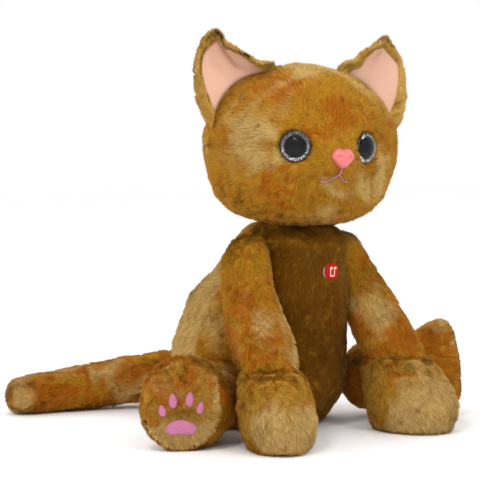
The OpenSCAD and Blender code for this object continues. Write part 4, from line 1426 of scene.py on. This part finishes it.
def bar(x0, x1, z0, z1, steps=8):
    k = np.linspace(0, 1, steps, endpoint=False)
    side = lambda a, b: np.stack([a[0] + (b[0] - a[0]) * k, a[1] + (b[1] - a[1]) * k], -1)
    corners = [(x0, z0), (x1, z0), (x1, z1), (x0, z1)]
    return np.concatenate([side(corners[i], corners[(i + 1) % 4]) for i in range(4)])


INNER_FINISHES = {
    "pellet_bag": COTTON, "sound_case_front": CASE_PLASTIC, "sound_case_back": CASE_PLASTIC,
    "battery_door": CASE_PLASTIC, "battery_door_screw": CELL_STEEL, "button_cells": CELL_STEEL,
    "circuit_board": BOARD, "speaker": SPEAKER_PAPER, "button_plunger": CASE_PLASTIC,
}


def finish_inner_parts():
    for name, material in INNER_FINISHES.items():
        slots = nodes[name].material_slots
        if len(slots) == 0:
            nodes[name].data.materials.append(material)
        for s in slots:
            s.material = material


# ---------------------------------------------------------------- stage, light, camera
def make_stage():
    size = 4000.0
    material, n, shader = new_material("pale floor", Roughness=0.9, Specular_IOR_Level=0.1)
    n.join(n.mix(n.noise(n.place(), 3), tint("FDFDFD"), tint("FFFFFF")), shader["Base Color"])
    floor = build_mesh("studio_floor", [[-size, -size, 0], [size, -size, 0], [size, size, 0],
                                        [-size, size, 0]], [[0, 1, 2], [0, 2, 3]], material)
    world = bpy.data.worlds.new("studio")
    bpy.context.scene.world = world
    world.use_nodes = True
    background = world.node_tree.nodes["Background"]
    background.inputs["Color"].default_value = (1.0, 1.0, 1.0, 1.0)
    background.inputs["Strength"].default_value = 1.0


def make_light(name, place, target, width, height, power):
    data = bpy.data.lights.new(name, "AREA")
    data.shape, data.size, data.size_y = "RECTANGLE", width, height
    data.energy = power
    light = bpy.data.objects.new(name, data)
    light.location = place
    light.rotation_euler = (Vector(target) - Vector(place)).to_track_quat("-Z", "Y").to_euler()
    bpy.context.scene.collection.objects.link(light)


CAMERA_TURN, CAMERA_RISE, CAMERA_FAR = math.radians(-37), math.radians(4), 1.4
CAMERA_AIM = Vector((-0.028, 0.031, 0.1512))
CAMERA_LENS = 129.75


def make_camera():
    data = bpy.data.cameras.new("view")
    data.lens, data.sensor_width, data.clip_start, data.clip_end = CAMERA_LENS, 36.0, 0.05, 50.0
    camera = bpy.data.objects.new("view", data)
    away = Vector((math.sin(CAMERA_TURN) * math.cos(CAMERA_RISE),
                   -math.cos(CAMERA_TURN) * math.cos(CAMERA_RISE), math.sin(CAMERA_RISE)))
    camera.location = CAMERA_AIM + away * CAMERA_FAR
    camera.rotation_euler = (-away).to_track_quat("-Z", "Y").to_euler()
    bpy.context.scene.collection.objects.link(camera)
    bpy.context.scene.camera = camera


make_camera()
make_stage()
body_middle, face_middle = (0.0, 0.0, 0.16), (-0.03, -0.07, 0.23)
make_light("softbox high", (-1.3, -1.1, 1.7), body_middle, 1.0, 1.0, 3.5)
make_light("softbox right", (1.5, -1.3, 0.9), body_middle, 0.9, 1.3, 0.6)
make_light("strip upper left", (-0.76, -0.38, 0.98), face_middle, 0.26, 0.05, 3.0)
make_light("strip upper right", (0.06, -0.90, 1.10), (-0.03, -0.06, 0.23), 0.30, 0.035, 2.5)
make_light("back wash", (0.4, 1.6, 1.5), body_middle, 1.4, 1.0, 6.0)
bpy.context.scene.view_settings.view_transform = "Standard"
bpy.context.scene.view_settings.look = "None"

make_torso()
make_head()
make_eyes()
make_nose()
make_mouth()
make_ears()
make_arms()
make_legs()
make_tail()
make_button()
finish_inner_parts()
